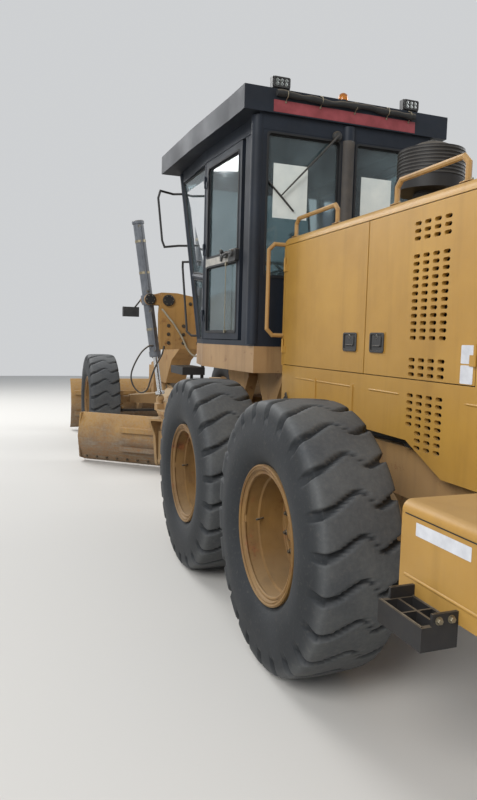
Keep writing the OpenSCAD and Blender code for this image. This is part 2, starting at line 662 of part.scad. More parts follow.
module seat() color("#26282b") {
  z = cab_floor_z + seat_gap;
  translate([2150, 0, z]) cylinder(h = 260, r = 110, $fn = 36);
  box([1960, 2360], [-180, 180], [z, z + 40]);
  box([1940, 2400], [-250, 250], [z + 255, z + 375]);
  translate([1985, 0, z + 360]) rotate([0, -12, 0]) box([-110, 0], [-240, 240], [0, 560]);
  for (s = [-1, 1]) box([1960, 2280], [s * 290 - 35, s * 290 + 35], [z + 500, z + 560]);
  for (s = [-1, 1]) box([1960, 2010], [s > 0 ? 245 : -325, s > 0 ? 325 : -245], [z + 300, z + 510]);
}

module controls() color("#303236") {
  z = cab_floor_z + seat_gap;
  // Pedestal, column, wheel and the two rows of levers
  box([2790, 2960], [-120, 120], [z, z + 560]);
  translate([2850, 0, z + 540]) rotate([0, -28, 0]) {
    cylinder(h = 190, r = 32, $fn = 24);
    translate([0, 0, 185]) rotate_extrude($fn = 48) translate([190, 0]) circle(15, $fn = 24);
    for (a = [0, 120, 240]) rotate([0, 0, a]) translate([0, -12, 178]) cube([185, 24, 14]);
  }
  for (s = [-1, 1]) {
    box([2800, 2920], [s * 230 - 115, s * 230 + 115], [z + 420, z + 560]);
    for (k = [-1.5 : 1 : 1.5]) bar([2850, s * 230 + k * 50, z + 555], [2800, s * 230 + k * 50, z + 760], 8);
  }
}

// Work lights: place and the way they look, 1 forward and -1 back
ROOF_LIGHTS = [[1620, 560, -1], [1620, -560, -1], [3560, 620, 1], [3560, -620, 1]];
module lamp_head(dir) {
  translate([-25, -70, 0]) cube([50, 140, 80]);
  translate([dir > 0 ? 20 : -35, -60, 8]) cube([15, 120, 64]);
}
module work_lights() color("#2a2c2e") {
  for (q = ROOF_LIGHTS) translate([q[0], q[1], roof_top - gutter + seat_gap]) {
    cylinder(h = 60, r = 12, $fn = 20);
    translate([0, 0, 55]) lamp_head(q[2]);
  }
  // Foot of the beacon
  translate([1680, 0, roof_top - gutter + seat_gap]) cylinder(h = 70, r = 22, $fn = 24);
}

// Where a tube leaves the front post at a height, in a direction seen from above
function off_post(z, a, d) = post_at(z) + (front_post_d / 2 + d) * [cos(a), sin(a), 0];
module cab_rails() color(DARK) for (s = [-1, 1]) on_side(s) {
  // Grab rail outside the front post, and the bare mirror bracket above it
  low = cab_floor_z + 70;
  high = cab_floor_z + 800;
  tube_path([off_post(low, 50, 2.6), off_post(low, 50, 60), off_post(low + 40, 45, 110),
    off_post(high - 50, 30, 110), off_post(high, 50, 70), off_post(high, 50, 2.6)], 11);
  foot = cab_floor_z + 960;
  top = cab_floor_z + 1480;
  tube_path([off_post(foot, 60, 0.8), off_post(foot, 60, 90), [3450, 970, foot - 20], [3450, 995, foot + 40],
    [3450, 1040, top - 70], [3450, 1020, top], off_post(top, 60, 90), off_post(top, 60, 0.8)], 11);
}

// Cab doors: frame with an upper and a lower window, hinged on the front door post
door_l = 770;
door_t = 45;
module in_door_plane(side) on_side(side)
  translate([CAB_PLAN[2][0] - 14, CAB_PLAN[2][1], 0])
    rotate([0, 0, atan2(CAB_PLAN[2][1] - CAB_PLAN[1][1], CAB_PLAN[2][0] - CAB_PLAN[1][0])])
      rotate([90, 0, 0]) translate([-door_l, 0, 0]) children();
door_z = [cab_floor_z + 46, cab_roof_z - 116];
module door_windows(grow) {
  translate([55 - grow, door_z[0] + 60 - grow]) square([door_l - 110 + 2 * grow, 560 + 2 * grow]);
  translate([55 - grow, door_z[0] + 700 - grow]) square([door_l - 110 + 2 * grow, door_z[1] - door_z[0] - 760 + 2 * grow]);
}
module cab_door(side) color(NAVY) in_door_plane(side) {
  linear_extrude(door_t) difference() {
    translate([0, door_z[0]]) square([door_l, door_z[1] - door_z[0]]);
    door_windows(0);
  }
  // Latch case on the middle rail
  translate([20, door_z[0] + 620, -22]) cube([120, 80, 24]);
}
module door_hinges(side) color(NAVY) on_side(side) for (z = CAB_HINGES)
  translate([cab_hinge_x, cab_hinge_y, z]) hinge_half(-1, 50, 4);
module cab_door_body(side) {
  cab_door(side);
  door_hinges(side);
}
module door_glass(side) color("#9fb4bd") in_door_plane(side)
  translate([0, 0, 18]) linear_extrude(glass_t) door_windows(-seat_gap);

// Hood side doors
hood_door_z = [hood_seam + 5, hood_top - hood_beam - door_gap];
hood_door_front_x = [door_split + door_gap, hood_front - panel_t - door_gap];
hood_door_rear_x = [door_rear + door_gap, door_split - door_gap];
module hood_door(side, x, vents) color(YELLOW) on_side(side) {
  side_plate(hood_w / 2 - panel_t, hood_w / 2) difference() {
    translate([x[0], hood_door_z[0]]) square([x[1] - x[0], hood_door_z[1] - hood_door_z[0]]);
    if (vents) for (g = DOOR_VENTS) slots(-160, g[0], 4, g[1]);
  }
  // Latch plate
  box([vents ? 92 : 380, vents ? 238 : 540], [hood_w / 2 - 2, hood_w / 2 + 3], [1616, 1731]);
  for (z = HOOD_HINGES)
    translate([vents ? rear_hinge_x : front_hinge_x, hood_w / 2 + pin_out, z]) hinge_half(vents ? 1 : -1, 40, 1);
}

// Front frame

hinge_boss_r = 110;
swivel_x = 6750;
swivel_z = 900;
swivel_stem_r = 45;
nose_z = 965;
dozer_pivot = [7560, 760];
// Gooseneck outline seen from the side: over the top from the hinge to the nose, and back below
NECK = [[2800, 1110], [3150, 1112], [3420, 1400], [3700, 2000], [3950, 2180], [5200, 2060], [6600, 1560],
  [7000, 1330], [7600, 1250], [7650, 1230], [7650, 680], [7300, 680], [7240, nose_z], [6640, nose_z],
  [6300, 1330], [5200, 1760], [4080, 1840], [3880, 1760], [3700, 1420], [3500, 1000], [3350, 870], [2800, 860]];

module front_frame() color(YELLOW) {
  difference() {
    union() {
      side_plate(-neck_w / 2, neck_w / 2) polygon(NECK);
      // Wider nose ahead of the axle
      box([7300, 7650], [-185, 185], [680, 1200]);
      // Swivel boss under the nose
      translate([swivel_x, 0, nose_z - 2]) cylinder(h = 60, r = 90, $fn = 40);
      translate([hinge_x, 0, rail_z[0] + 5]) cylinder(h = rail_z[1] - rail_z[0] - 10, r = hinge_boss_r, $fn = 48);
      // Ears for the steering-joint cylinders
      for (s = [-1, 1]) on_side(s) for (z = [artic_z - 60, artic_z + 45])
        box([hinge_x - 45, hinge_x + 45], [0, artic_y + 45], [z, z + 15]);
    }
    translate([hinge_x, 0, 800]) cylinder(h = 400, r = hinge_pin_r + run_gap, $fn = 48);
    translate([swivel_x, 0, nose_z - 20]) cylinder(h = 200, r = swivel_stem_r + run_gap, $fn = 40);
  }
  // Pin of the dozer arms
  translate([dozer_pivot[0], 0, dozer_pivot[1]]) pin_y(-270, 270, 25);
  // Axle support under the nose
  box([front_axle_x - 90, front_axle_x + 90], [-120, 120], [790 + seat_gap, nose_z + 5]);
  // Dozer lift cylinder barrel on its bracket
  difference() {
    union() {
      box([7645, dozer_rod_x], [-45, 45], [1060, 1160]);
      translate([dozer_rod_x, 0, 1010]) cylinder(h = 560, r = 48, $fn = 36);
      box([7600, dozer_rod_x], [-30, 30], [1155, 1225]);
    }
    translate([dozer_rod_x, 0, 1000]) cylinder(h = 500, r = dozer_rod_r + run_gap, $fn = 36);
  }
}

// Lift arms on both sides of the gooseneck, each ending in a two-eared yoke
ear_gap = 95;
ear_t = 32;
trunnion_r = 25;
saddle_top = yoke_z + 80;
yoke_low = yoke_z - 58;
module saddle() color(YELLOW) for (s = [-1, 1]) on_side(s) {
  inner = neck_w / 2 + seat_gap;
  end_plate(lift_x - 180, lift_x + 80)
    polygon([[inner, 1850], [inner, 2110], [560, saddle_top], [750, saddle_top], [750, yoke_low], [560, 2000], [330, 1880]]);
  // Deep rear plate, behind the space in which the cylinder swings
  end_plate(lift_x - 180, lift_x - 90)
    polygon([[inner, 1540], [inner, 2110], [560, saddle_top], [750, saddle_top], [770, 1930], [765, 1660], [740, 1520]]);
  difference() {
    for (x = [lift_x - ear_gap - ear_t, lift_x + ear_gap]) {
      end_plate(x, x + ear_t) union() {
        translate([yoke_y, yoke_z]) circle(65, $fn = 36);
        translate([740, yoke_z - 60]) square([yoke_y - 740, 120]);
      }
    }
    translate([0, yoke_y, yoke_z]) pin_x(lift_x - 200, lift_x + 200, trunnion_r + run_gap);
  }
  box([lift_x - ear_gap - ear_t, lift_x + ear_gap + ear_t], [725, 752], [yoke_low, saddle_top]);
}

// Lift cylinders: they hang in the yokes and lean inwards to the drawbar
lift_ball = [lift_x, 700, 930];
lift_top = [lift_x, yoke_y, yoke_z];
lift_dir = (lift_top - lift_ball) / norm(lift_top - lift_ball);
lift_lean = atan2(lift_dir[1], lift_dir[2]);
module in_lift_axis(side) on_side(side) translate(lift_top) rotate([-lift_lean, 0, 0]) children();
lift_up = 885;
lift_down = 650;
cap_gap = 3;
// The ball rises towards the rod when the drawbar moves sideways, so the rod stops short of it
lift_cap_gap = 14;
module lift_barrel(side) color(DARK) in_lift_axis(side) difference() {
  union() {
    translate([0, 0, -lift_down]) cylinder(h = lift_up + lift_down, r = barrel_r, $fn = 40);
    translate([0, 0, -55]) cylinder(h = 110, r = barrel_r + 18, $fn = 40);
    translate([0, 0, -lift_down - 20]) cylinder(h = 60, r = barrel_r + 8, $fn = 40);
    pin_x(-ear_gap - ear_t - 12, ear_gap + ear_t + 12, trunnion_r);
  }
  translate([0, 0, -lift_down - 30]) cylinder(h = lift_up + lift_down - 10, r = rod_r + run_gap, $fn = 40);
}
ball_r = 42;
module lift_rod(side) color(STEEL) in_lift_axis(side) {
  low = -norm(lift_top - lift_ball) + ball_r + lift_cap_gap;
  translate([0, 0, low]) cylinder(h = 30, r = 56, $fn = 36);
  translate([0, 0, low + 25]) cylinder(h = 1100, r = rod_r, $fn = 36);
}

// Height of the nose's sloping top between the neck's eighth and ninth points
function neck_top(x) = lookup(x, [[NECK[7][0], NECK[7][1]], [NECK[8][0], NECK[8][1]]]);
nose_lamp_x = 7480;
// Headlights on the lift arms and the nose
module headlights() color("#2a2c2e") for (s = [-1, 1]) on_side(s) {
  // Lamp box on an arm outboard of the yoke, held on the front ear's face
  ear_x = lift_x + ear_gap + ear_t + seat_gap;
  stud = [yoke_y + 42, yoke_z + 18];
  translate([0, stud[0], stud[1]]) pin_x(ear_x, ear_x + 46, 12);
  bar([ear_x + 36, stud[0], stud[1]], [ear_x + 36, yoke_y + 140, yoke_z - 110], 10);
  translate([ear_x + 11, yoke_y + 75, yoke_z - 200]) cube([60, 190, 115]);
  translate([nose_lamp_x, 100, neck_top(nose_lamp_x - 14) + seat_gap]) {
    cylinder(h = 60, r = 14, $fn = 20);
    translate([20, 0, 110]) rotate([0, 90, 0]) translate([0, 0, -60]) cylinder(h = 110, r1 = 60, r2 = 85, $fn = 36);
  }
}

// Front axle and steering

kingpin_y = 790;
kingpin_r = 28;
arm_back = 230;
arm_in = 0;
module front_axle() color(YELLOW) {
  side_profile = [[-640, 650], [-200, 620], [200, 620], [640, 650], [640, 760], [200, 790], [-200, 790], [-640, 760]];
  end_plate(front_axle_x - 85, front_axle_x + 85) polygon(side_profile);
  for (s = [-1, 1]) on_side(s) difference() {
    union() {
      box([front_axle_x - 60, front_axle_x + 60], [635, kingpin_y - 10], [640, 740]);
      translate([front_axle_x, kingpin_y, 640]) cylinder(h = 100, r = 62, $fn = 36);
    }
    translate([front_axle_x, kingpin_y, 600]) cylinder(h = 200, r = kingpin_r + run_gap, $fn = 36);
  }
}
module knuckle(side) color(YELLOW) on_side(side) translate([front_axle_x, 0, 0]) {
  translate([0, kingpin_y, 560]) cylinder(h = 262, r = kingpin_r, $fn = 36);
  for (z = [560, 746]) translate([0, 0, z]) linear_extrude(z < 600 ? 74 : 76) {
    translate([0, kingpin_y]) circle(60, $fn = 36);
    translate([-60, kingpin_y]) square([120, 92]);
  }
  box([-60, 60], [kingpin_y + 68, kingpin_y + 96], [560, 822]);
  // Spindle to the hub
  translate([0, 0, wheel_z]) pin_y(kingpin_y + 90, track_half + hub_y - seat_gap, 100);
  // Steering arm and its pin
  translate([0, 0, 575]) linear_extrude(30) {
    polygon([[0, kingpin_y + 40], [0, kingpin_y - 40], [-arm_back, kingpin_y - arm_in - 30],
      [-arm_back, kingpin_y - arm_in + 30]]);
    translate([-arm_back, kingpin_y - arm_in]) circle(32, $fn = 32);
  }
  translate([-arm_back, kingpin_y - arm_in, 520]) cylinder(h = 60, r = 15, $fn = 32);
}
module tie_rod() color(DARK) translate([front_axle_x - arm_back, 0, 0]) {
  y = kingpin_y - arm_in;
  translate([0, 0, 545]) pin_y(-y + 28, y - 28, 19);
  for (s = [-1, 1]) difference() {
    translate([0, s * y, 525]) cylinder(h = 42, r = 34, $fn = 32);
    translate([0, s * y, 500]) cylinder(h = 100, r = s > 0 ? 15 + run_gap : 18, $fn = 32);
  }
}

// Drawbar

module drawbar_swivel() color(STEEL) translate([swivel_x, 0, 0]) {
  translate([0, 0, nose_z - 10]) cylinder(h = 150, r = swivel_stem_r, $fn = 40);
  box([-55, 55], [-60, 60], [swivel_z - 70, nose_z - 5]);
  translate([0, 0, swivel_z]) pin_y(-115, 115, 30);
}
shoe_r = [758, 800];
ring_h = 70;
flange_h = 25;
flange_r = circle_r + 30;
table_z = circle_z + ring_h + 5;
table_r = [600, 770];
ear_r = 56;
SHOE_ANGLES = [38, 142, 218, 322];
module drawbar() color(YELLOW) {
  difference() {
    union() {
      // Table over the ring
      translate([circle_x, 0, table_z]) linear_extrude(40) difference() {
        circle(table_r[1], $fn = 96);
        circle(table_r[0], $fn = 96);
      }
      // The two legs of the A-frame, from the fork to the lift brackets
      translate([0, 0, table_z]) linear_extrude(130) for (s = [-1, 1]) mirror([0, s < 0 ? 1 : 0])
        polygon([[6640, 66], [6640, 106], [6450, 190], [5150, 640], [4250, 700], [4000, 640], [3950, 560],
          [4250, 560], [5080, 520], [6380, 70], [6480, 66]]);
      // Cross members
      translate([0, 0, table_z]) linear_extrude(110) polygon([[6340, -110], [6200, -160], [6200, 160], [6340, 110]]);
      box([3900, 4000], [-620, 620], [table_z, table_z + 110]);
      box([circle_x + 180, circle_x + 300], [-600, 600], [table_z + 5, table_z + 110]);
      // Fork ears at the swivel
      for (s = [-1, 1]) on_side(s) {
        side_plate(66, 104) union() {
          translate([swivel_x, swivel_z]) circle(ear_r, $fn = 36);
          polygon([[swivel_x, swivel_z - ear_r], [swivel_x, swivel_z + ear_r], [6500, table_z + 130], [6500, table_z]]);
        }
        // Lift bracket with its ball
        box([lift_x - 70, lift_x + 70], [600, 760], [table_z + 20, 870]);
        translate([lift_x, lift_ball[1], 850]) cylinder(h = 70, r = 26, $fn = 32);
        translate(lift_ball) sphere(ball_r, $fn = 36);
      }
    }
    translate([swivel_x, 0, swivel_z]) pin_y(-140, 140, 30 + run_gap);
  }
  // Shoes that hold the ring by its flange
  for (a = SHOE_ANGLES) translate([circle_x, 0, 0]) rotate([0, 0, a]) {
    box([shoe_r[0], shoe_r[1]], [-60, 60], [circle_z + 15, table_z + 40]);
    box([circle_r + 8, shoe_r[1]], [-60, 60], [circle_z + 15, circle_z + ring_h - flange_h - grip_gap]);
    box([table_r[1] - 20, shoe_r[1]], [-60, 60], [table_z, table_z + 40]);
  }
  // Circle drive: gearbox and motor over the ring
  translate([circle_x + 240, 0, table_z + 100]) cylinder(h = 150, r = 130, $fn = 40);
  translate([circle_x + 240, 0, table_z + 245]) cylinder(h = 170, r = 75, $fn = 36);
}

// Circle: the toothed ring and the two legs that carry the blade
tooth_h = 34;
module circle_ring() {
  root_r = circle_r - 50;
  translate([0, 0, circle_z]) linear_extrude(ring_h) difference() {
    circle(circle_r, $fn = 96);
    circle(root_r - tooth_h, $fn = 96);
    // Spaces between the teeth, wider towards the ring's middle
    for (k = [0 : tooth_n - 1]) rotate(360 * k / tooth_n)
      polygon([[root_r - tooth_h - 10, -1], [root_r - tooth_h - 10, 1],
        [root_r - tooth_h - 4, 0.27 * 6.283 * root_r / tooth_n], [root_r, 0.17 * 6.283 * root_r / tooth_n],
        [root_r, -0.17 * 6.283 * root_r / tooth_n], [root_r - tooth_h - 4, -0.27 * 6.283 * root_r / tooth_n]]);
  }
  translate([0, 0, circle_z + ring_h - flange_h]) linear_extrude(flange_h) difference() {
    circle(flange_r, $fn = 96);
    circle(circle_r - 5, $fn = 96);
  }
}
tip_v = -200;
tip_z = 150;
tip_r = 30;
// Side view of a leg: (back from the blade, up)
module leg_outline() {
  translate([tip_v, tip_z]) circle(60, $fn = 36);
  polygon([[tip_v - 60, tip_z], [tip_v + 30, tip_z], [tip_v + 30, 560], [-120, 655], [-120, circle_z + 2],
    [-430, circle_z + 2], [-430, 640], [tip_v - 110, 480]]);
}
module blade_frame() translate([circle_x, 0, 0]) rotate([0, 0, -blade_yaw]) children();
module circle_body() color(YELLOW) blade_frame() {
  circle_ring();
  for (s = [-1, 1]) {
    for (u = [85, -115]) side_plate(s * arm_u + u, s * arm_u + u + 30) leg_outline();
    translate([tip_v, 0, tip_z]) pin_y(s * arm_u - 130, s * arm_u + 130, tip_r);
    box([-430, -120], [s * arm_u - 115, s * arm_u + 115], [circle_z - 22, circle_z + 2]);
  }
}

// Blade: arms that tip, and the curved blade that slides in their grips
blade_z = blade_clear + 20;
blade_mid = blade_z + blade_h / 2;
blade_front = 66;
rail_up = [230, 470];
rail_half = 30;
rail_v = [-120, -40];
module blade_arms() color(YELLOW) blade_frame() for (s = [-1, 1]) {
  difference() {
    union() {
      side_plate(s * arm_u - 80, s * arm_u + 80) {
        polygon([[-235, tip_z], [-163, tip_z], [-163, 520], [-235, 520]]);
        translate([tip_v, tip_z]) circle(50, $fn = 36);
      }
      for (z = rail_up) box([-170, -75], [s * arm_u - 80, s * arm_u + 80], [z - 45, z + 45]);
    }
    for (z = rail_up)
      box([rail_v[0] - grip_gap, 0], [s * arm_u - 90, s * arm_u + 90], [z - rail_half - grip_gap, z + rail_half + grip_gap]);
    translate([tip_v, 0, tip_z]) pin_y(s * arm_u - 140, s * arm_u + 140, tip_r + run_gap);
  }
}
module moldboard() color(YELLOW) blade_frame() {
  half = blade_len / 2;
  vc = blade_front + sqrt(blade_r * blade_r - blade_h * blade_h / 4);
  side_plate(-half, half) intersection() {
    translate([vc, blade_mid]) difference() {
      circle(blade_r + blade_t, $fn = 128);
      circle(blade_r, $fn = 128);
    }
    translate([-200, blade_z]) square([blade_front + 200, blade_h]);
  }
  // Cutting edge in front of the lower lip
  side_plate(-half, half)
    polygon([[blade_front + 22, blade_clear], [blade_front, blade_clear], [blade_front - 98, blade_z + 120],
      [blade_front - 78, blade_z + 130]]);
  for (z = rail_up) box(rail_v, [-1330, 1330], [z - rail_half, z + rail_half]);
  // End bits
  for (s = [-1, 1]) side_plate(s > 0 ? half - 18 : -half, s > 0 ? half : -half + 18)
    polygon([[blade_front + 22, blade_clear], [-30, blade_clear + 40], [-70, blade_mid], [-20, blade_z + blade_h],
      [blade_front + 10, blade_z + blade_h], [-10, blade_mid + 40]]);
}

// Dozer blade with its arms, and the rod of its cylinder
dozer_rod_x = 7820;
dozer_rod_r = 26;
dozer_bar_r = 35;
dozer_bar_z = 720;
dozer_r = 620;
module dozer_blade() color(YELLOW) {
  front = front_end;
  mid = dozer_clear + dozer_h / 2;
  vc = front + sqrt(dozer_r * dozer_r - dozer_h * dozer_h / 4);
  side_plate(-dozer_w / 2, dozer_w / 2) intersection() {
    translate([vc, mid]) difference() {
      circle(dozer_r + 24, $fn = 128);
      circle(dozer_r, $fn = 128);
    }
    translate([front - 400, dozer_clear]) square([400, dozer_h]);
  }
  back = vc - dozer_r - 20;
  // Stiffeners behind the plate
  for (z = [mid - 200, mid + 160]) box([back - 50, back + 8], [-dozer_w / 2 + 60, dozer_w / 2 - 60], [z, z + 70]);
  difference() {
    for (s = [-1, 1]) on_side(s) side_plate(192, 262) {
      translate([dozer_pivot[0], dozer_pivot[1]]) circle(70, $fn = 36);
      polygon([[dozer_pivot[0], dozer_pivot[1] - 60], [dozer_pivot[0], dozer_pivot[1] + 60], [back + 6, mid + 240],
        [back + 6, mid - 220], [8000, 560]]);
    }
    translate([dozer_pivot[0], 0, dozer_pivot[1]]) pin_y(-280, 280, 25 + run_gap);
  }
  translate([dozer_rod_x, 0, dozer_bar_z - dozer_bar_r]) pin_y(-200, 200, dozer_bar_r);
}
module dozer_rod() color(STEEL) translate([dozer_rod_x, 0, dozer_bar_z + cap_gap]) {
  cylinder(h = 40, r = 42, $fn = 36);
  translate([0, 0, 35]) cylinder(h = 500, r = dozer_rod_r, $fn = 36);
}

module artic_rod(side) color(STEEL) on_side(side) translate([0, artic_y, artic_z]) {
  pin_x(2060, hinge_x - 35, artic_rod_r);
  translate([hinge_x, 0, -40]) cylinder(h = 80, r = 42, $fn = 36);
}

place() rear_chassis();
place() engine();
place() hood_shell();
place() lower_panels();
place() rear_grille();
place() hood_rails();
place() stacks();
place() side_boxes();
place() steps();
place() tandem_axle();
place() cab_base();
place() cab_frame();
place() cab_roof();
place() cab_glass();
place() seat();
place() controls();
place() work_lights();
place() cab_rails();
place() cab_door_body(1);  // cab_door_left
place() cab_door_body(-1);  // cab_door_right
place() door_glass(1);  // door_glass_left
place() door_glass(-1);  // door_glass_right
place() hood_door(1, hood_door_front_x, false);  // hood_door_left_front
place() hood_door(1, hood_door_rear_x, true);  // hood_door_left_rear
place() hood_door(-1, hood_door_front_x, false);  // hood_door_right_front
place() hood_door(-1, hood_door_rear_x, true);  // hood_door_right_rear
place() box_lid(1);  // box_lid_left
place() box_lid(-1);  // box_lid_right
place() wheel_at(0, 1) tyre();  // tyre_left_rear
place() wheel_at(1, 1) tyre();  // tyre_left_mid
place() wheel_at(2, 1) tyre();  // tyre_left_front
place() wheel_at(0, -1) tyre();  // tyre_right_rear
place() wheel_at(1, -1) tyre();  // tyre_right_mid
place() wheel_at(2, -1) tyre();  // tyre_right_front
place() wheel_at(0, 1) rim();  // rim_left_rear
place() wheel_at(1, 1) rim();  // rim_left_mid
place() wheel_at(2, 1) rim();  // rim_left_front
place() wheel_at(0, -1) rim();  // rim_right_rear
place() wheel_at(1, -1) rim();  // rim_right_mid
place() wheel_at(2, -1) rim();  // rim_right_front
place() front_frame();
place() saddle();
place() headlights();
place() front_axle();
place() knuckle(1);  // knuckle_left
place() knuckle(-1);  // knuckle_right
place() tie_rod();
place() drawbar_swivel();
place() drawbar();
place() circle_body();  // circle
place() blade_arms();
place() moldboard();
place() lift_barrel(1);  // lift_barrel_left
place() lift_barrel(-1);  // lift_barrel_right
place() lift_rod(1);  // lift_rod_left
place() lift_rod(-1);  // lift_rod_right
place() dozer_blade();
place() dozer_rod();
place() artic_rod(1);  // artic_rod_left
place() artic_rod(-1);  // artic_rod_right
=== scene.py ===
# %% [markdown]
# # An articulated motor grader
# The steel frame, the cab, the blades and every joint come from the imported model. This lesson
# adds what the solids leave out: tread, panes, hoses, bolts, lamps and the finishes of a machine
# that has worked outdoors. The frame loads first, because every piece rides on one of its bodies.

# %% Load the frame
import math
import bpy
import numpy as np
from mathutils import Matrix


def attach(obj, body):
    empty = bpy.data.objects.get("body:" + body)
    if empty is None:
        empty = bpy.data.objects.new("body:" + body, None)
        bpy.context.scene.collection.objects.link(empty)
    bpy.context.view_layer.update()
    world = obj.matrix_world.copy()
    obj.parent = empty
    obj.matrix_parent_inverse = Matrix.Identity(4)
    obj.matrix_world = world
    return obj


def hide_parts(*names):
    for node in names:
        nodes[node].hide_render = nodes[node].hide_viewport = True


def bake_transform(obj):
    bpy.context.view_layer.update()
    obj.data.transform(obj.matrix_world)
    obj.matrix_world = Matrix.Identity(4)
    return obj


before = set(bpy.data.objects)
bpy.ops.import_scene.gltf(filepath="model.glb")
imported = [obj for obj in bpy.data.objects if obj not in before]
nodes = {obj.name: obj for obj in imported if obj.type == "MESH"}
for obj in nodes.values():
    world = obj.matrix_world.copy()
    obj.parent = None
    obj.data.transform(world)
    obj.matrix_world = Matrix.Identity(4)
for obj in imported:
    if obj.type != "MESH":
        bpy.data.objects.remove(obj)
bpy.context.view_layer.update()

# %% [markdown]
# The drawing of the machine counts lengths forward from the rear tandem wheel, but the frame's
# origin is in the middle of the machine's length. One number moves a place from one to the other,
# so the sizes below read like the drawing, in metres.

# %% Places on the machine
SHIFT = 3.425


def at(x, y, z):
    """A place on the drawing as a point of the frame."""
    return np.array([x - SHIFT, y, z], float)


WHEEL_R = 0.69
TRACK = 1.085
STATIONS = {"rear": 0.0, "mid": 1.538, "front": 7.0}
SIDES = {"left": 1, "right": -1}

# %% [markdown]
# Colours are given as sRGB hex values, but a shader adds light in linear values. One
# function turns the one into the other. A second one adds a shader node, sets it and links it, so
# each material reads as a short list of what acts on what. A noise's scale is one over the size of
# its blotches in metres.

# %% Colour and node helpers


def srgb(code):
    """An sRGB hex colour as linear red, green and blue, and a full alpha."""
    c = np.array([int(code[i:i + 2], 16) for i in (1, 3, 5)]) / 255
    lin = np.where(c <= 0.04045, c / 12.92, ((c + 0.055) / 1.055) ** 2.4)
    return (*lin.tolist(), 1.0)


def add(tree, kind, inputs=(), take=0, stops=(), **settings):
    """Adds one node with its settings, and hands back its output called take.

    Inputs come by name or number, or in order: a socket is linked, and any other value is set.
    Stops are a ramp's (place, colour) pairs, in which a plain number stands for a grey.
    """
    n = tree.nodes.new("ShaderNode" + kind)
    for key, value in settings.items():
        setattr(n, key, value)
    for key, value in inputs.items() if isinstance(inputs, dict) else enumerate(inputs):
        if isinstance(value, bpy.types.NodeSocket):
            tree.links.new(value, n.inputs[key])
        else:
            n.inputs[key].default_value = value
    for k, (place, colour) in enumerate(stops):
        stop = n.color_ramp.elements[k] if k < 2 else n.color_ramp.elements.new(place)
        stop.position = place
        stop.color = (colour, colour, colour, 1) if isinstance(colour, (int, float)) else colour
    return n.outputs[take] if n.outputs else n


def new_material(name):
    """An empty material, its node tree and the object's own coordinates, in which patterns lie."""
    m = bpy.data.materials.new(name)
    m.use_nodes = True
    m.node_tree.nodes.clear()
    return m, m.node_tree, add(m.node_tree, "TexCoord", take="Object")


# %% [markdown]
# **Machine enamel.** The body is sheet and plate steel under a thick two-part enamel, semi-gloss
# when new. Here it has faded in blotches, chalked where the sun falls, and holds yellow-brown dust
# on its upper faces and low down near the wheels. So the colour is two shades of ochre mixed by
# wide noise, with dust added by the surface's upward slope and by its height above the ground. A
# fine noise gives the orange peel of sprayed paint.

# %% Enamel on sheet steel
DUST = srgb("#a08d70")


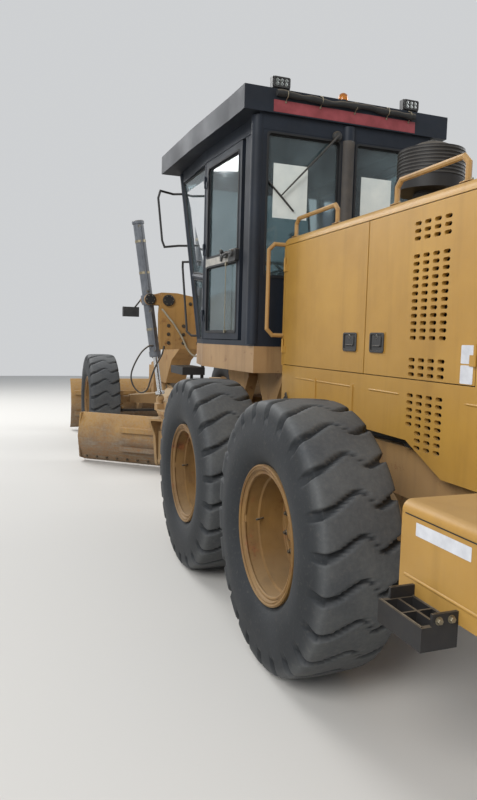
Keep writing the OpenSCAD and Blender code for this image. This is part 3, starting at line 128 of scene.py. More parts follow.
def enamel(name, pale, deep, dust=0.5, rust=0.0, rough=0.42, low=1.1, streak=0.35, film=0.22, shine=0.45):
    """Sprayed enamel. dust settles on upper faces, film lies all over, rust shows through."""
    m, t, co = new_material(name)
    wide = add(t, "TexNoise", {"Vector": co, "Scale": 1 / 0.55, "Detail": 5, "Roughness": 0.55})
    fine = add(t, "TexNoise", {"Vector": co, "Scale": 1 / 0.045, "Detail": 6, "Roughness": 0.65})
    paint = add(t, "ValToRGB", [wide], stops=[(0.3, srgb(deep)), (0.7, srgb(pale))])
    thin = add(t, "Math", [fine, film], operation="MULTIPLY")
    paint = add(t, "Mix", {0: thin, 6: paint, 7: DUST}, 2, data_type="RGBA")
    # Rain streaks: noise pulled long in height
    tall = add(t, "Mapping", {"Vector": co, "Scale": (9.0, 9.0, 0.8)})
    runs = add(t, "TexNoise", {"Vector": tall, "Scale": 1.0, "Detail": 5, "Roughness": 0.6})
    runs = add(t, "ValToRGB", [runs], stops=[(0.5, 0), (0.72, streak)])
    paint = add(t, "Mix", {0: runs, 6: paint, 7: srgb("#7d6340")}, 2, data_type="RGBA", blend_type="MULTIPLY")
    # Dust lies on upward faces and thickens towards the ground
    up = add(t, "SeparateXYZ", [add(t, "NewGeometry", take="Normal")], "Z")
    near = add(t, "MapRange", [add(t, "SeparateXYZ", [co], "Z"), low, 0.25, 0.0, 0.65])
    flat = add(t, "MapRange", [up, 0.55, 1.0, 0.0, 1.0])
    lie = add(t, "Math", [near, flat], operation="ADD", use_clamp=True)
    lie = add(t, "Math", [lie, dust], operation="MULTIPLY")
    patch = add(t, "Math", [wide, 0.45], operation="ADD")
    lie = add(t, "Math", [lie, patch], operation="MULTIPLY", use_clamp=True)
    paint = add(t, "Mix", {0: lie, 6: paint, 7: DUST}, 2, data_type="RGBA")
    if rust > 0:
        spots = add(t, "TexNoise", {"Vector": co, "Scale": 1 / 0.16, "Detail": 9, "Roughness": 0.72})
        spots = add(t, "ValToRGB", [spots], stops=[(0.62 - 0.18 * rust, 0), (0.72 - 0.1 * rust, 1)])
        brown = add(t, "ValToRGB", [fine], stops=[(0.35, srgb("#4a2c1a")), (0.65, srgb("#8a4f27"))])
        paint = add(t, "Mix", {0: spots, 6: paint, 7: brown}, 2, data_type="RGBA")
    sheen = add(t, "MapRange", [wide, 0.3, 0.7, rough + 0.16, rough])
    dull = add(t, "Math", [lie, 0.35], operation="MULTIPLY")
    sheen = add(t, "Math", [sheen, dull], operation="ADD", use_clamp=True)
    # Orange peel about 4 mm across
    peel = add(t, "TexNoise", {"Vector": co, "Scale": 1 / 0.004, "Detail": 2, "Roughness": 0.55})
    bump = add(t, "Bump", {"Height": peel, "Strength": 0.05, "Distance": 0.002})
    shader = add(t, "BsdfPrincipled", {"Base Color": paint, "Roughness": sheen, "IOR": 1.5, "Normal": bump,
                                       "Specular IOR Level": shine})
    add(t, "OutputMaterial", [shader])
    return m


hood_enamel = enamel("hood_machine_enamel", "#b88c3c", "#a27830", dust=0.4, rough=0.36, streak=0.16, film=0.12)
frame_enamel = enamel("frame_machine_enamel", "#b08340", "#966c35", dust=0.85, rust=0.25, rough=0.5, low=1.9)
rim_enamel = enamel("rim_enamel", "#8a6631", "#664a26", dust=0.3, film=0.12, rust=0.4, rough=0.5, low=0.5)
base_enamel = enamel("cab_base_enamel", "#a78459", "#93704b", dust=0.5, rust=0.1)
rail_enamel = enamel("handrail_enamel", "#b58c4c", "#9c7440", dust=0.5, rust=0.2)
cab_enamel = enamel("cab_enamel", "#18222f", "#101822", dust=0.10, rough=0.5, streak=0.1, film=0.03, shine=0.3)
black_enamel = enamel("black_bracket_enamel", "#202124", "#141518", dust=0.2, rough=0.5, low=0.4, film=0.05,
                      shine=0.35)
print("enamels made")

# %% [markdown]
# **Worn blade plate.** A grading blade is rolled high-carbon plate. Paint stays only high on its
# back, and soil polishes the rest to a brown-grey with rust in the pits. The shader mixes paint,
# rust and bare plate by height above the ground, broken up with noise so that no line is straight.

# %% Worn blade steel


def blade_plate(name, paint_from, paint_to):
    """Paint above paint_to, worn and rusted plate below paint_from, heights in metres."""
    m, t, co = new_material(name)
    wide = add(t, "TexNoise", {"Vector": co, "Scale": 1 / 0.35, "Detail": 7, "Roughness": 0.65})
    fine = add(t, "TexNoise", {"Vector": co, "Scale": 1 / 0.03, "Detail": 8, "Roughness": 0.7})
    long_co = add(t, "Mapping", {"Vector": co, "Scale": (1.0, 1.0, 7.0)})
    scrape = add(t, "TexNoise", {"Vector": long_co, "Scale": 1 / 0.22, "Detail": 8, "Roughness": 0.7})
    ragged = add(t, "Math", [wide, 0.5], operation="SUBTRACT")
    ragged = add(t, "Math", [ragged, 0.55], operation="MULTIPLY")
    edge = add(t, "Math", [add(t, "SeparateXYZ", [co], "Z"), ragged], operation="ADD")
    keep = add(t, "MapRange", [edge, paint_from, paint_to])
    rust = add(t, "ValToRGB", [fine],
               stops=[(0.3, srgb("#4d3626")), (0.55, srgb("#7d5a38")), (0.75, srgb("#9b7040"))])
    bare = add(t, "ValToRGB", [scrape], stops=[(0.35, srgb("#4b4742")), (0.65, srgb("#7a7063"))])
    scoured = add(t, "ValToRGB", [scrape], stops=[(0.42, 0), (0.6, 0.8)])
    worn = add(t, "Mix", {0: scoured, 6: rust, 7: bare}, 2, data_type="RGBA")
    paint = add(t, "ValToRGB", [wide], stops=[(0.3, srgb("#977038")), (0.7, srgb("#ad8445"))])
    colour = add(t, "Mix", {0: keep, 6: worn, 7: paint}, 2, data_type="RGBA")
    film = add(t, "ValToRGB", [fine], stops=[(0.45, 0.35), (0.6, 0)])
    colour = add(t, "Mix", {0: film, 6: colour, 7: DUST}, 2, data_type="RGBA")
    rough = add(t, "MapRange", {0: scrape, 3: 0.72, 4: 0.42})
    bump = add(t, "Bump", {"Height": scrape, "Strength": 0.35, "Distance": 0.004})
    add(t, "OutputMaterial", [add(t, "BsdfPrincipled", {"Base Color": colour, "Roughness": rough, "Normal": bump})])
    return m


blade_steel = blade_plate("blade_worn_plate", 0.30, 0.52)
dozer_steel = blade_plate("dozer_worn_plate", 0.28, 0.75)

# %% [markdown]
# **Metals and rubber.** Cylinder rods are ground and hard-chromed, so they are true metal with a
# low roughness and faint lengthwise marks. Cast and machined iron is a rougher metal. Hose and
# trim rubber is a dark dielectric that looks dull because its surface is rough.

# %% Metals, plastics and rubber


def plain_finish(name, a, b, size, rough, metallic=0.0, bump=0.05, bump_size=0.002, dust=0.0):
    """Two shades mixed by noise of a real size, with a fine bump and dust on upward faces."""
    m, t, co = new_material(name)
    blot = add(t, "TexNoise", {"Vector": co, "Scale": 1 / size, "Detail": 6, "Roughness": 0.62})
    colour = add(t, "ValToRGB", [blot], stops=[(0.32, srgb(a)), (0.68, srgb(b))])
    if dust > 0:
        up = add(t, "SeparateXYZ", [add(t, "NewGeometry", take="Normal")], "Z")
        lie = add(t, "MapRange", [up, 0.2, 1.0, 0.1 * dust, dust])
        patch = add(t, "Math", [blot, 0.4], operation="ADD")
        lie = add(t, "Math", [lie, patch], operation="MULTIPLY", use_clamp=True)
        colour = add(t, "Mix", {0: lie, 6: colour, 7: DUST}, 2, data_type="RGBA")
    sheen = add(t, "MapRange", [blot, 0.3, 0.7, rough, min(1.0, rough + 0.18)])
    grain = add(t, "TexNoise", {"Vector": co, "Scale": 1 / bump_size, "Detail": 3, "Roughness": 0.55})
    normal = add(t, "Bump", {"Height": grain, "Strength": bump, "Distance": 0.002})
    shader = add(t, "BsdfPrincipled", {"Base Color": colour, "Roughness": sheen, "Metallic": metallic,
                                       "Normal": normal})
    add(t, "OutputMaterial", [shader])
    return m


rod_chrome = plain_finish("hard_chrome_rod", "#b9bbbd", "#d2d3d4", 0.2, 0.14, 1.0, 0.02)
pin_steel = plain_finish("machined_steel", "#7d7c79", "#9a9893", 0.08, 0.34, 1.0, 0.1)
bolt_zinc = plain_finish("plated_bolt_steel", "#77705f", "#a39a84", 0.02, 0.4, 0.8, 0.1, dust=0.5)
engine_iron = plain_finish("painted_cast_iron", "#4e5154", "#6b6e70", 0.12, 0.55, 0.0, 0.4, 0.004, dust=0.5)
hose_rubber = plain_finish("hydraulic_hose_rubber", "#1a1a1b", "#2b2b2c", 0.05, 0.55, 0.0, 0.25, 0.003, dust=0.6)
trim_rubber = plain_finish("window_seal_rubber", "#111213", "#1d1e20", 0.1, 0.6, 0.0, 0.1)
black_plastic = plain_finish("moulded_black_plastic", "#1d1f21", "#2a2c2f", 0.15, 0.45, 0.0, 0.15, 0.0015, dust=0.35)
grey_plastic = plain_finish("moulded_grey_plastic", "#3a3d41", "#4a4d51", 0.2, 0.5, 0.0, 0.15, 0.0015, dust=0.2)
barrel_enamel = plain_finish("cylinder_barrel_enamel", "#51565e", "#6a6f76", 0.12, 0.45, 0.0, 0.06, 0.004, dust=0.5)
# Near-black painted shade for the sheets that stand in for the shade behind the vent slots
painted_shade_black = plain_finish("painted_engine_bay_shade", "#050505", "#0d0c0b", 0.2, 0.9, 0.0, 0.2, 0.01)
white_film = plain_finish("white_reflective_film", "#c3c4c8", "#d9dadd", 0.06, 0.4, 0.0, 0.05, 0.003, dust=0.15)
red_film = plain_finish("faded_red_film", "#7a2c31", "#98434a", 0.12, 0.5, 0.0, 0.12, 0.01, dust=0.3)
canvas_wrap = plain_finish("cable_wrap_cloth", "#15191d", "#22282c", 0.05, 0.8, 0.0, 0.5, 0.006, dust=0.4)
bolt_dark = plain_finish("oiled_bolt_steel", "#3b3732", "#5c554b", 0.03, 0.45, 0.6, 0.1, dust=0.4)
scorched_steel = plain_finish("scorched_pipe_steel", "#3a2f29", "#5a4436", 0.05, 0.6, 0.5, 0.3, 0.004)
rail_plate = plain_finish("dusty_plated_cover", "#8f8c86", "#b3afa6", 0.06, 0.5, 0.3, 0.1, dust=0.5)
# Lighter than the cab's navy: a painted highlight on the round middle post
post_painted_highlight = plain_finish("painted_post_highlight", "#3d3a38", "#565049", 0.12, 0.62, 0.0, 0.15, 0.006)
# Pale colour of two sheets on the rear glass: a painted reflection
pale_painted_reflection = plain_finish("pale_window_painted_reflection", "#c9cfca", "#dde0d8", 0.2, 0.6, 0.0, 0.05)

# %% [markdown]
# **Safety glass.** Cab panes are 6 mm toughened glass with a faint green tint. A shader that lets
# light through needs real thickness, which the panes have. Dust on them is a thin film, so a
# little of the light is scattered instead of passed: noise lowers the transmission here and there.

# %% Glass and lamps


def pane(name, tint, clear_lo, clear_hi, rough=0.02):
    """Toughened glass with a dusty film: clear_lo to clear_hi is the share of light let through."""
    m, t, co = new_material(name)
    film = add(t, "TexNoise", {"Vector": co, "Scale": 1 / 0.3, "Detail": 6, "Roughness": 0.6})
    clear = add(t, "MapRange", [film, 0.35, 0.65, clear_lo, clear_hi])
    haze = add(t, "MapRange", [film, 0.35, 0.65, rough + 0.06, rough])
    shader = add(t, "BsdfPrincipled", {"Base Color": srgb(tint), "Roughness": haze, "Transmission Weight": clear,
                                       "IOR": 1.45})
    add(t, "OutputMaterial", [shader])
    return m


cab_pane = pane("toughened_cab_glass", "#9db0b4", 0.84, 0.96)
sun_film = pane("blue_sun_film", "#35598a", 0.25, 0.4, 0.05)
lamp_pane = pane("lamp_lens_glass", "#e8efe6", 0.75, 0.9, 0.08)
red_lens = pane("red_lens_plastic", "#a81f1f", 0.45, 0.65, 0.1)
amber_lens = pane("amber_lens_plastic", "#d8862a", 0.5, 0.7, 0.1)

# %% [markdown]
# **Seat cloth.** A woven cloth is two sets of threads about 1 mm apart, too fine to show from this
# distance, so the weave is drawn 3 mm wide. Two wave textures at right angles make it.

# %% Seat cloth


def woven(name, a, b, pitch):
    """Plain weave of two thread colours, pitch metres apart."""
    m, t, co = new_material(name)
    warp, weft = [add(t, "TexWave", {"Vector": co, "Scale": 0.5 / pitch, "Distortion": 0.4}, "Fac",
                      bands_direction=way) for way in "YZ"]
    both = add(t, "Math", [warp, weft], operation="MULTIPLY")
    colour = add(t, "ValToRGB", [both], stops=[(0.1, srgb(a)), (0.7, srgb(b))])
    bump = add(t, "Bump", {"Height": both, "Strength": 0.4, "Distance": 0.001})
    shader = add(t, "BsdfPrincipled", {"Base Color": colour, "Roughness": 0.85, "Sheen Weight": 0.25, "Normal": bump})
    add(t, "OutputMaterial", [shader])
    return m


seat_cloth = woven("woven_seat_cloth", "#1c1e22", "#3b3f46", 0.003)

# %% [markdown]
# **Tyre rubber.** Tread rubber is black with carbon, but on a working machine the tops of the lugs
# are scrubbed grey and dusty and the grooves stay dark. The tyre's mesh carries one number at each
# point, 0 in a groove and 1 on a lug's top, and the shader reads it as an attribute.

# %% Tyre rubber


def tyre_rubber(name):
    """Dark rubber whose lug tops, marked 1 in the attribute tread_top, are scrubbed grey."""
    m, t, co = new_material(name)
    top = add(t, "Attribute", take="Fac", attribute_name="tread_top")
    wide = add(t, "TexNoise", {"Vector": co, "Scale": 1 / 0.25, "Detail": 6, "Roughness": 0.6})
    fine = add(t, "TexNoise", {"Vector": co, "Scale": 1 / 0.02, "Detail": 8, "Roughness": 0.7})
    dark = add(t, "ValToRGB", [wide], stops=[(0.3, srgb("#1b1e21")), (0.7, srgb("#26292c"))])
    scrub = add(t, "ValToRGB", [wide], stops=[(0.3, srgb("#434547")), (0.7, srgb("#575857"))])
    patch = add(t, "Math", [fine, 0.45], operation="ADD")
    worn = add(t, "Math", [top, patch], operation="MULTIPLY", use_clamp=True)
    colour = add(t, "Mix", {0: worn, 6: dark, 7: scrub}, 2, data_type="RGBA")
    film = add(t, "ValToRGB", [fine], stops=[(0.55, 0), (0.78, 0.16)])
    colour = add(t, "Mix", {0: film, 6: colour, 7: srgb("#8a8071")}, 2, data_type="RGBA")
    bump = add(t, "Bump", {"Height": fine, "Strength": 0.35, "Distance": 0.003})
    shader = add(t, "BsdfPrincipled", {"Base Color": colour, "Roughness": 0.68, "Normal": bump,
                                       "Specular IOR Level": 0.4})
    add(t, "OutputMaterial", [shader])
    return m


tread_rubber = tyre_rubber("scrubbed_tyre_rubber")

# %% [markdown]
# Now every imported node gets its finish. A node keeps its mesh, and only its material changes.

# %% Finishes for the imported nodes
FINISH = {
    hood_enamel: ["hood_shell", "lower_panels", "side_boxes", "hood_door_", "box_lid_"],
    rail_enamel: ["hood_rails"],
    rim_enamel: ["rim_"],
    frame_enamel: ["rear_chassis", "tandem_axle", "front_frame", "saddle", "front_axle", "knuckle_", "drawbar",
                   "circle", "blade_arms"],
    base_enamel: ["cab_base"],
    cab_enamel: ["cab_frame", "cab_roof", "cab_door_"],
    black_enamel: ["rear_grille", "stacks", "steps", "cab_rails", "tie_rod"],
    barrel_enamel: ["lift_barrel_"],
    rod_chrome: ["lift_rod_", "dozer_rod", "artic_rod_"],
    pin_steel: ["drawbar_swivel"],
    engine_iron: ["engine"],
    blade_steel: ["moldboard"],
    dozer_steel: ["dozer_blade"],
    cab_pane: ["cab_glass", "door_glass_"],
    seat_cloth: ["seat"],
    grey_plastic: ["controls"],
    black_plastic: ["work_lights", "headlights"],
    tread_rubber: ["tyre_"],
}


def dress(node, material):
    """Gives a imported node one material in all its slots."""
    slots = nodes[node].data.materials
    slots.clear()
    slots.append(material)


def finish_for(node):
    """The finish whose longest matching name begins the node's name."""
    found = [(len(key), m) for m, keys in FINISH.items() for key in keys if node.startswith(key)]
    return max(found, key=lambda q: q[0])[1]


for name in nodes:
    dress(name, finish_for(name))
print("finished", len(nodes), "nodes")

# %% [markdown]
# New pieces are plain arrays until the last moment: a shape is its points and its faces. A grid of
# points gives faces by counting, and several shapes are put together by moving the face numbers
# up. Only then does a mesh appear.

# %% Shapes as arrays
X, Y, Z = np.eye(3)


def unit(v):
    """The direction of a vector, or of each row of several: it over its length."""
    v = np.asarray(v, float)
    return v / np.linalg.norm(v, axis=-1, keepdims=True)


def square_to(axis):
    """Two directions across an axis, square to each other, and the axis itself, all of length 1."""
    z = unit(axis)
    x = unit(np.cross(Z if abs(z[2]) < 0.9 else X, z))
    return x, np.cross(z, x), z


def about_y(angle):
    """The matrix of a turn about the Y axis, for rows of points."""
    c, s = math.cos(angle), math.sin(angle)
    return np.array([[c, 0, s], [0, 1, 0], [-s, 0, c]])


def grid_faces(rows, cols, wrap_rows=False, wrap_cols=False):
    """Quads of a grid of rows times cols points, counted row by row."""
    i = np.arange(rows if wrap_rows else rows - 1)
    j = np.arange(cols if wrap_cols else cols - 1)
    i, j = np.meshgrid(i, j, indexing="ij")
    i2, j2 = (i + 1) % rows, (j + 1) % cols
    return np.stack([i * cols + j, i2 * cols + j, i2 * cols + j2, i * cols + j2], -1).reshape(-1, 4)


def together(shapes):
    """Several shapes as one: each one's face numbers move up past the points before it."""
    points, faces, start = [], [], 0
    for p, f in shapes:
        points.append(p)
        faces += [[int(k) + start for k in face] for face in f]
        start += len(p)
    return np.concatenate(points), faces


def moved(shape, by):
    """The same shape somewhere else."""
    return np.asarray(shape[0], float) + np.asarray(by, float), shape[1]


def mirrored(shape):
    """The same shape on the machine's other side."""
    points, faces = shape
    return np.asarray(points, float) * [1, -1, 1], [list(f)[::-1] for f in faces]


def new_object(name, data):
    """An object of a mesh, a lamp or a camera, linked into the scene."""
    obj = bpy.data.objects.new(name, data)
    bpy.context.scene.collection.objects.link(obj)
    return obj


def stand(obj, x, y, z, place):
    """Sets an object's own three axes and its place."""
    obj.matrix_world = Matrix([*np.column_stack([x, y, z, place]).tolist(), [0, 0, 0, 1]])


def piece(name, shape, material, body, slot, smooth=True, bevel=0.0):
    """Makes an object of a shape given in the drawing's places, and puts it on a body if one is named."""
    points, faces = shape
    mesh = bpy.data.meshes.new(name)
    mesh.from_pydata((np.asarray(points, float) - [SHIFT, 0, 0]).tolist(), [], [list(map(int, f)) for f in faces])
    mesh.validate()
    mesh.materials.append(material)
    obj = new_object(name, mesh)
    if bevel > 0:
        b = obj.modifiers.new("bevel", "BEVEL")
        b.width = bevel
        b.segments = 2
        b.limit_method = "ANGLE"
        b.angle_limit = math.radians(40)
    if smooth:
        mesh.shade_smooth()
        mesh.set_sharp_from_angle(angle=math.radians(35))
    if body:
        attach(obj, body)
    return obj


def pair(name, shape, material, body, slot, **how):
    """A piece on the left and its mirror image on the right; {side} in a body's name is filled in."""
    for side, s in SIDES.items():
        piece(f"{name}_{side}", shape if s > 0 else mirrored(shape), material, body.format(side=side), slot, **how)


print("shape helpers ready")

# %% [markdown]
# **Tubes, turned parts and plates.** Most small parts are one of three shapes: a round section
# carried along a path, a profile turned about an axis, or a flat outline given a thickness.

# %% Shape makers


def facing(points, faces):
    """Turns all faces of a closed shape round if its volume comes out negative."""
    fans = np.array([(f[0], f[i], f[i + 1]) for f in faces for i in range(1, len(f) - 1)])
    a, b, c = points[fans.T]
    return [f[::-1] for f in faces] if (a * np.cross(b, c)).sum() < 0 else faces


def circle(count):
    """The angles of count points round a circle."""
    return np.linspace(0, 2 * math.pi, count, endpoint=False)


def capped(rings):
    """The skin over a row of rings of points, closed by a flat face at both ends."""
    n, sides = rings.shape[:2]
    points = rings.reshape(-1, 3)
    ends = [list(range(sides))[::-1], [(n - 1) * sides + k for k in range(sides)]]
    return points, facing(points, grid_faces(n, sides, False, True).tolist() + ends)


def tube(path, radius, sides=10):
    """A round tube along a path: centre plus radius times a direction that turns as little as it can."""
    p = np.asarray(path, float)
    r = np.broadcast_to(np.asarray(radius, float), (len(p),))[:, None, None]
    along = unit(np.gradient(p, axis=0))
    u, us = -square_to(along[0])[0], []
    for t in along:
        u = unit(u - t * (u @ t))
        us.append(u)
    w = np.cross(along, us)
    a = circle(sides)[:, None]
    return capped(p[:, None] + r * (np.cos(a) * np.array(us)[:, None] + np.sin(a) * w[:, None]))


def smooth_path(knots, n=24):
    """A soft curve through a few knots (Catmull-Rom): each stretch is a cubic in its four knots."""
    k = np.asarray(knots, float)
    k = np.vstack([2 * k[0] - k[1], k, 2 * k[-1] - k[-2]])
    t = np.linspace(0, 1, n, endpoint=False)[:, None]
    out = [0.5 * (2 * b + (c - a) * t + (2 * a - 5 * b + 4 * c - d) * t ** 2 + (3 * b - a - 3 * c + d) * t ** 3)
           for a, b, c, d in zip(k, k[1:], k[2:], k[3:])]
    return np.vstack(out + [k[-2][None]])


def turned(profile, centre, axis, sides=32):
    """A profile of (along the axis, radius) turned about an axis through centre; open ends are closed."""
    prof = np.asarray(profile, float)[:, :, None, None]
    x, y, z = square_to(axis)
    a = circle(sides)[:, None]
    return capped(np.asarray(centre, float) + prof[:, 0] * z + prof[:, 1] * (np.cos(a) * x + np.sin(a) * y))


def hoop(section, centre, axis, sides=36):
    """A closed section of (along the axis, radius) carried round the axis: a true ring."""
    x, y, z = square_to(axis)
    s = np.asarray(section, float)
    a = circle(sides)[:, None, None]
    points = np.asarray(centre, float) + s[:, :1] * z + s[:, 1:] * (np.cos(a) * x + np.sin(a) * y)
    points = points.reshape(-1, 3)
    return points, facing(points, grid_faces(sides, len(s), True, True).tolist())


def thickened(flat, origin, u, v, thick):
    """Flat points (along u, along v) from origin, and the same points moved by thick along u x v."""
    flat, u, v = (np.asarray(q, float) for q in (flat, u, v))
    low = np.asarray(origin, float) + flat[:, :1] * u + flat[:, 1:] * v
    return np.vstack([low, low + unit(np.cross(u, v)) * thick])


def plate(outline, origin, u, v, thick):
    """A flat outline (along u, along v) from origin, thickened along u x v."""
    k = len(outline)
    points = thickened(outline, origin, u, v, thick)
    faces = [list(range(k))[::-1], [k + i for i in range(k)]]
    faces += [[i, (i + 1) % k, k + (i + 1) % k, k + i] for i in range(k)]
    return points, facing(points, faces)


def framed(outer, inner, origin, u, v, thick):
    """A flat ring between two outlines of as many points, thickened along u x v."""
    k = len(outer)
    points = thickened(np.concatenate([outer, inner]), origin, u, v, thick)
    i = np.arange(k)
    j = (i + 1) % k
    faces = np.concatenate([
        np.stack([i, k + i, k + j, j], -1), np.stack([2 * k + i, 2 * k + j, 3 * k + j, 3 * k + i], -1),
        np.stack([i, j, 2 * k + j, 2 * k + i], -1), np.stack([k + j, k + i, 3 * k + i, 3 * k + j], -1)])
    return points, facing(points, faces.tolist())


def block(lo, hi):
    """A box between two corners, given a bevel later."""
    w, d, h = np.subtract(hi, lo)
    return plate([[0, 0], [w, 0], [w, d], [0, d]], lo, X, Y, h)


def round_outline(w, h, r):
    """A rectangle about the middle with round corners of radius r, as points."""
    x, y = w / 2 - r, h / 2 - r
    turns = [(cx, cy, np.radians(np.linspace(start, start + 90, 5)))
             for cx, cy, start in ((x, y, 0), (-x, y, 90), (-x, -y, 180), (x, -y, 270))]
    return np.concatenate([np.stack([cx + r * np.cos(a), cy + r * np.sin(a)], -1) for cx, cy, a in turns])


def tile(w, h, r, origin, u, v, thick):
    """A plate w by h with round corners of radius r, its middle at origin."""
    return plate(round_outline(w, h, r), origin, u, v, thick)


def hex_bolt(place, axis, across=0.024, head=0.011, washer=True):
    """A hexagon head on a washer, seen from its axis."""
    r = across / 2 / math.cos(math.pi / 6)
    shapes = [turned([[0.002, r], [0.002 + head * 0.8, r], [0.002 + head, r * 0.86]], place, axis, 6)]
    if washer:
        shapes.append(turned([[-0.002, r * 1.25], [0.002, r * 1.25]], place, axis, 16))
    return together(shapes)


print("shape makers ready")

# %% [markdown]
# ** Camera and free hoses.** They come first. Two hoses hang on each side of the saddle: a pale one that
# sags behind the saddle plate, and a black one that bows outwards from the lift cylinder's foot, hangs in
# a loop and ends on the saddle plate.

# %% Camera
# The focal length and the height of the photograph, in pixels
FOCAL_PX, PICTURE_PX = 645.07, 800


def camera():
    """The photograph's eye: its place and turn were found by fitting the wheels and the hood's edges."""
    yaw, pitch, roll = 0.355713, 0.096199, 0.025857
    ahead = np.array([math.cos(yaw) * math.cos(pitch), -math.sin(yaw) * math.cos(pitch), -math.sin(pitch)])
    right = unit(np.cross(ahead, Z))
    up = np.cross(right, ahead)
    c, s = math.cos(roll), math.sin(roll)
    data = bpy.data.cameras.new("camera")
    data.sensor_fit = "VERTICAL"
    data.sensor_width = data.sensor_height = 36
    data.lens = 36 * FOCAL_PX / PICTURE_PX
    data.clip_end = 200
    obj = new_object("camera", data)
    stand(obj, c * right + s * up, c * up - s * right, -ahead, at(-2.94166, 2.51797, 1.68075))
    bpy.context.scene.camera = obj


camera()

# %% Hanging hoses
pale_hose = plain_finish("pale_hose_cover", "#a39a86", "#8b826f", 0.06, 0.75, bump=0.1, dust=0.3)
# Each hose: the knots of its left path, its thickness and its finish
SAG = [[4.466, 0.742, 1.985], [4.440, 0.735, 1.975], [4.428, 0.680, 1.905], [4.430, 0.595, 1.805],
       [4.432, 0.500, 1.655], [4.432, 0.440, 1.535], [4.430, 0.360, 1.455], [4.432, 0.260, 1.470],
       [4.445, 0.215, 1.555], [4.466, 0.212, 1.600]]
BOW = [[4.592, 0.812, 1.560], [4.578, 0.875, 1.552], [4.572, 0.965, 1.470], [4.574, 1.050, 1.310],
       [4.578, 1.075, 1.185], [4.570, 1.040, 1.075], [4.545, 0.968, 1.010], [4.505, 0.898, 1.050],
       [4.474, 0.862, 1.180], [4.454, 0.815, 1.320], [4.446, 0.745, 1.455], [4.467, 0.712, 1.560]]
HOSES = {"sagging_hose": (SAG, 0.022, pale_hose), "bowed_hose": (BOW, 0.019, hose_rubber)}


for side, s in SIDES.items():
    for name, (knots, thick, paint) in HOSES.items():
        route = smooth_path(knots, 8) * [1, s, 1]
        body = "front_frame" if name == "sagging_hose" else None
        hose = piece(f"{name}_{side}", tube(route, thick / 2, 12), paint, body, "cab_plastic")
        route = [tuple(at(*q)) for q in route]
        if body is None:
            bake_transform(hose)
print("camera placed, hoses hung")

# %% [markdown]
# **Tyres.** A grader tyre of this size has lugs wide enough to carry it on a hard road, cut by
# narrow wavy grooves: one runs in from the outer shoulder, rises and hooks near the middle, and one
# starts past the middle and rises to the inner shoulder. The tyre is a surface of two parameters,
# the angle round the axle and the place along the cross-section. The groove is a depth, taken off
# along the section's own normal.

# %% Cross-section of a tyre
LUGS, STEPS_PER_LUG = 23, 36
# Half the tread's width, and how wide a groove's sloping wall is as a share of the pitch
TREAD_HALF, WALL = 0.200, 0.030
# The half section as (place across, radius)
SECTION = np.array([
    [0.150, 0.3182], [0.160, 0.3290], [0.1665, 0.3440], [0.1690, 0.3560], [0.1780, 0.3680], [0.1920, 0.3840],
    [0.2050, 0.4060], [0.2130, 0.4300], [0.2190, 0.4560], [0.2215, 0.4820], [0.2212, 0.5060], [0.2185, 0.5320],
    [0.2140, 0.5600], [0.2100, 0.5860], [0.2080, 0.6080], [0.2065, 0.6280], [0.2040, 0.6450], [0.1990, 0.6600],
    [0.1920, 0.6705], [0.1830, 0.6770], [0.1700, 0.6810], [0.1500, 0.6838], [0.1250, 0.6860], [0.1000, 0.6876],
    [0.0750, 0.6888], [0.0500, 0.6895], [0.0250, 0.6899], [0.0000, 0.6900]])


def full_section():
    """The half section and its mirror image, outer bead to inner bead, then back under the beads."""
    back = np.stack([np.linspace(-0.13, 0.13, 5), np.full(5, 0.3182)], -1)
    return np.concatenate([SECTION, SECTION[-2::-1] * [-1, 1], back])


# Along the tread, 1 at the outer shoulder and -1 at the inner one: how far the groove has risen as
# a share of the pitch, its half width as a share of the pitch, and its depth in metres
TREAD = np.array([
    [-1.10, 0.38, 0.125, 0.028], [-1.00, 0.36, 0.115, 0.028], [-0.70, 0.20, 0.085, 0.026],
    [-0.50, 0.09, 0.070, 0.020], [-0.40, 0.07, 0.050, 0.012], [-0.30, 0.15, 0.028, 0.004],
    [-0.20, 0.33, 0.030, 0.004], [-0.10, 0.42, 0.045, 0.010], [0.00, 0.46, 0.058, 0.014],
    [0.15, 0.43, 0.062, 0.018], [0.30, 0.34, 0.066, 0.022], [0.60, 0.13, 0.078, 0.026],
    [0.85, 0.03, 0.105, 0.028], [1.00, 0.00, 0.130, 0.028], [1.10, 0.00, 0.140, 0.028]])


def groove_depth(turn, across, radius):
    """Depth of the tread's groove at an angle (in pitches) and a place across; 0 on a lug's top."""
    place = np.clip(across / TREAD_HALF, -1.1, 1.1)
    rise, half, deep = (np.interp(place, TREAD[:, 0], TREAD[:, k]) for k in (1, 2, 3))
    off = np.abs((turn + rise + 0.5) % 1.0 - 0.5)
    cut = np.clip((half + WALL / 2 - off) / WALL, 0, 1)
    cut = cut * cut * (3 - 2 * cut)
    # Down the shoulder the grooves fade out into the sidewall
    fade = np.clip((radius - 0.585) / 0.045, 0, 1)
    return cut * deep * fade, cut * fade


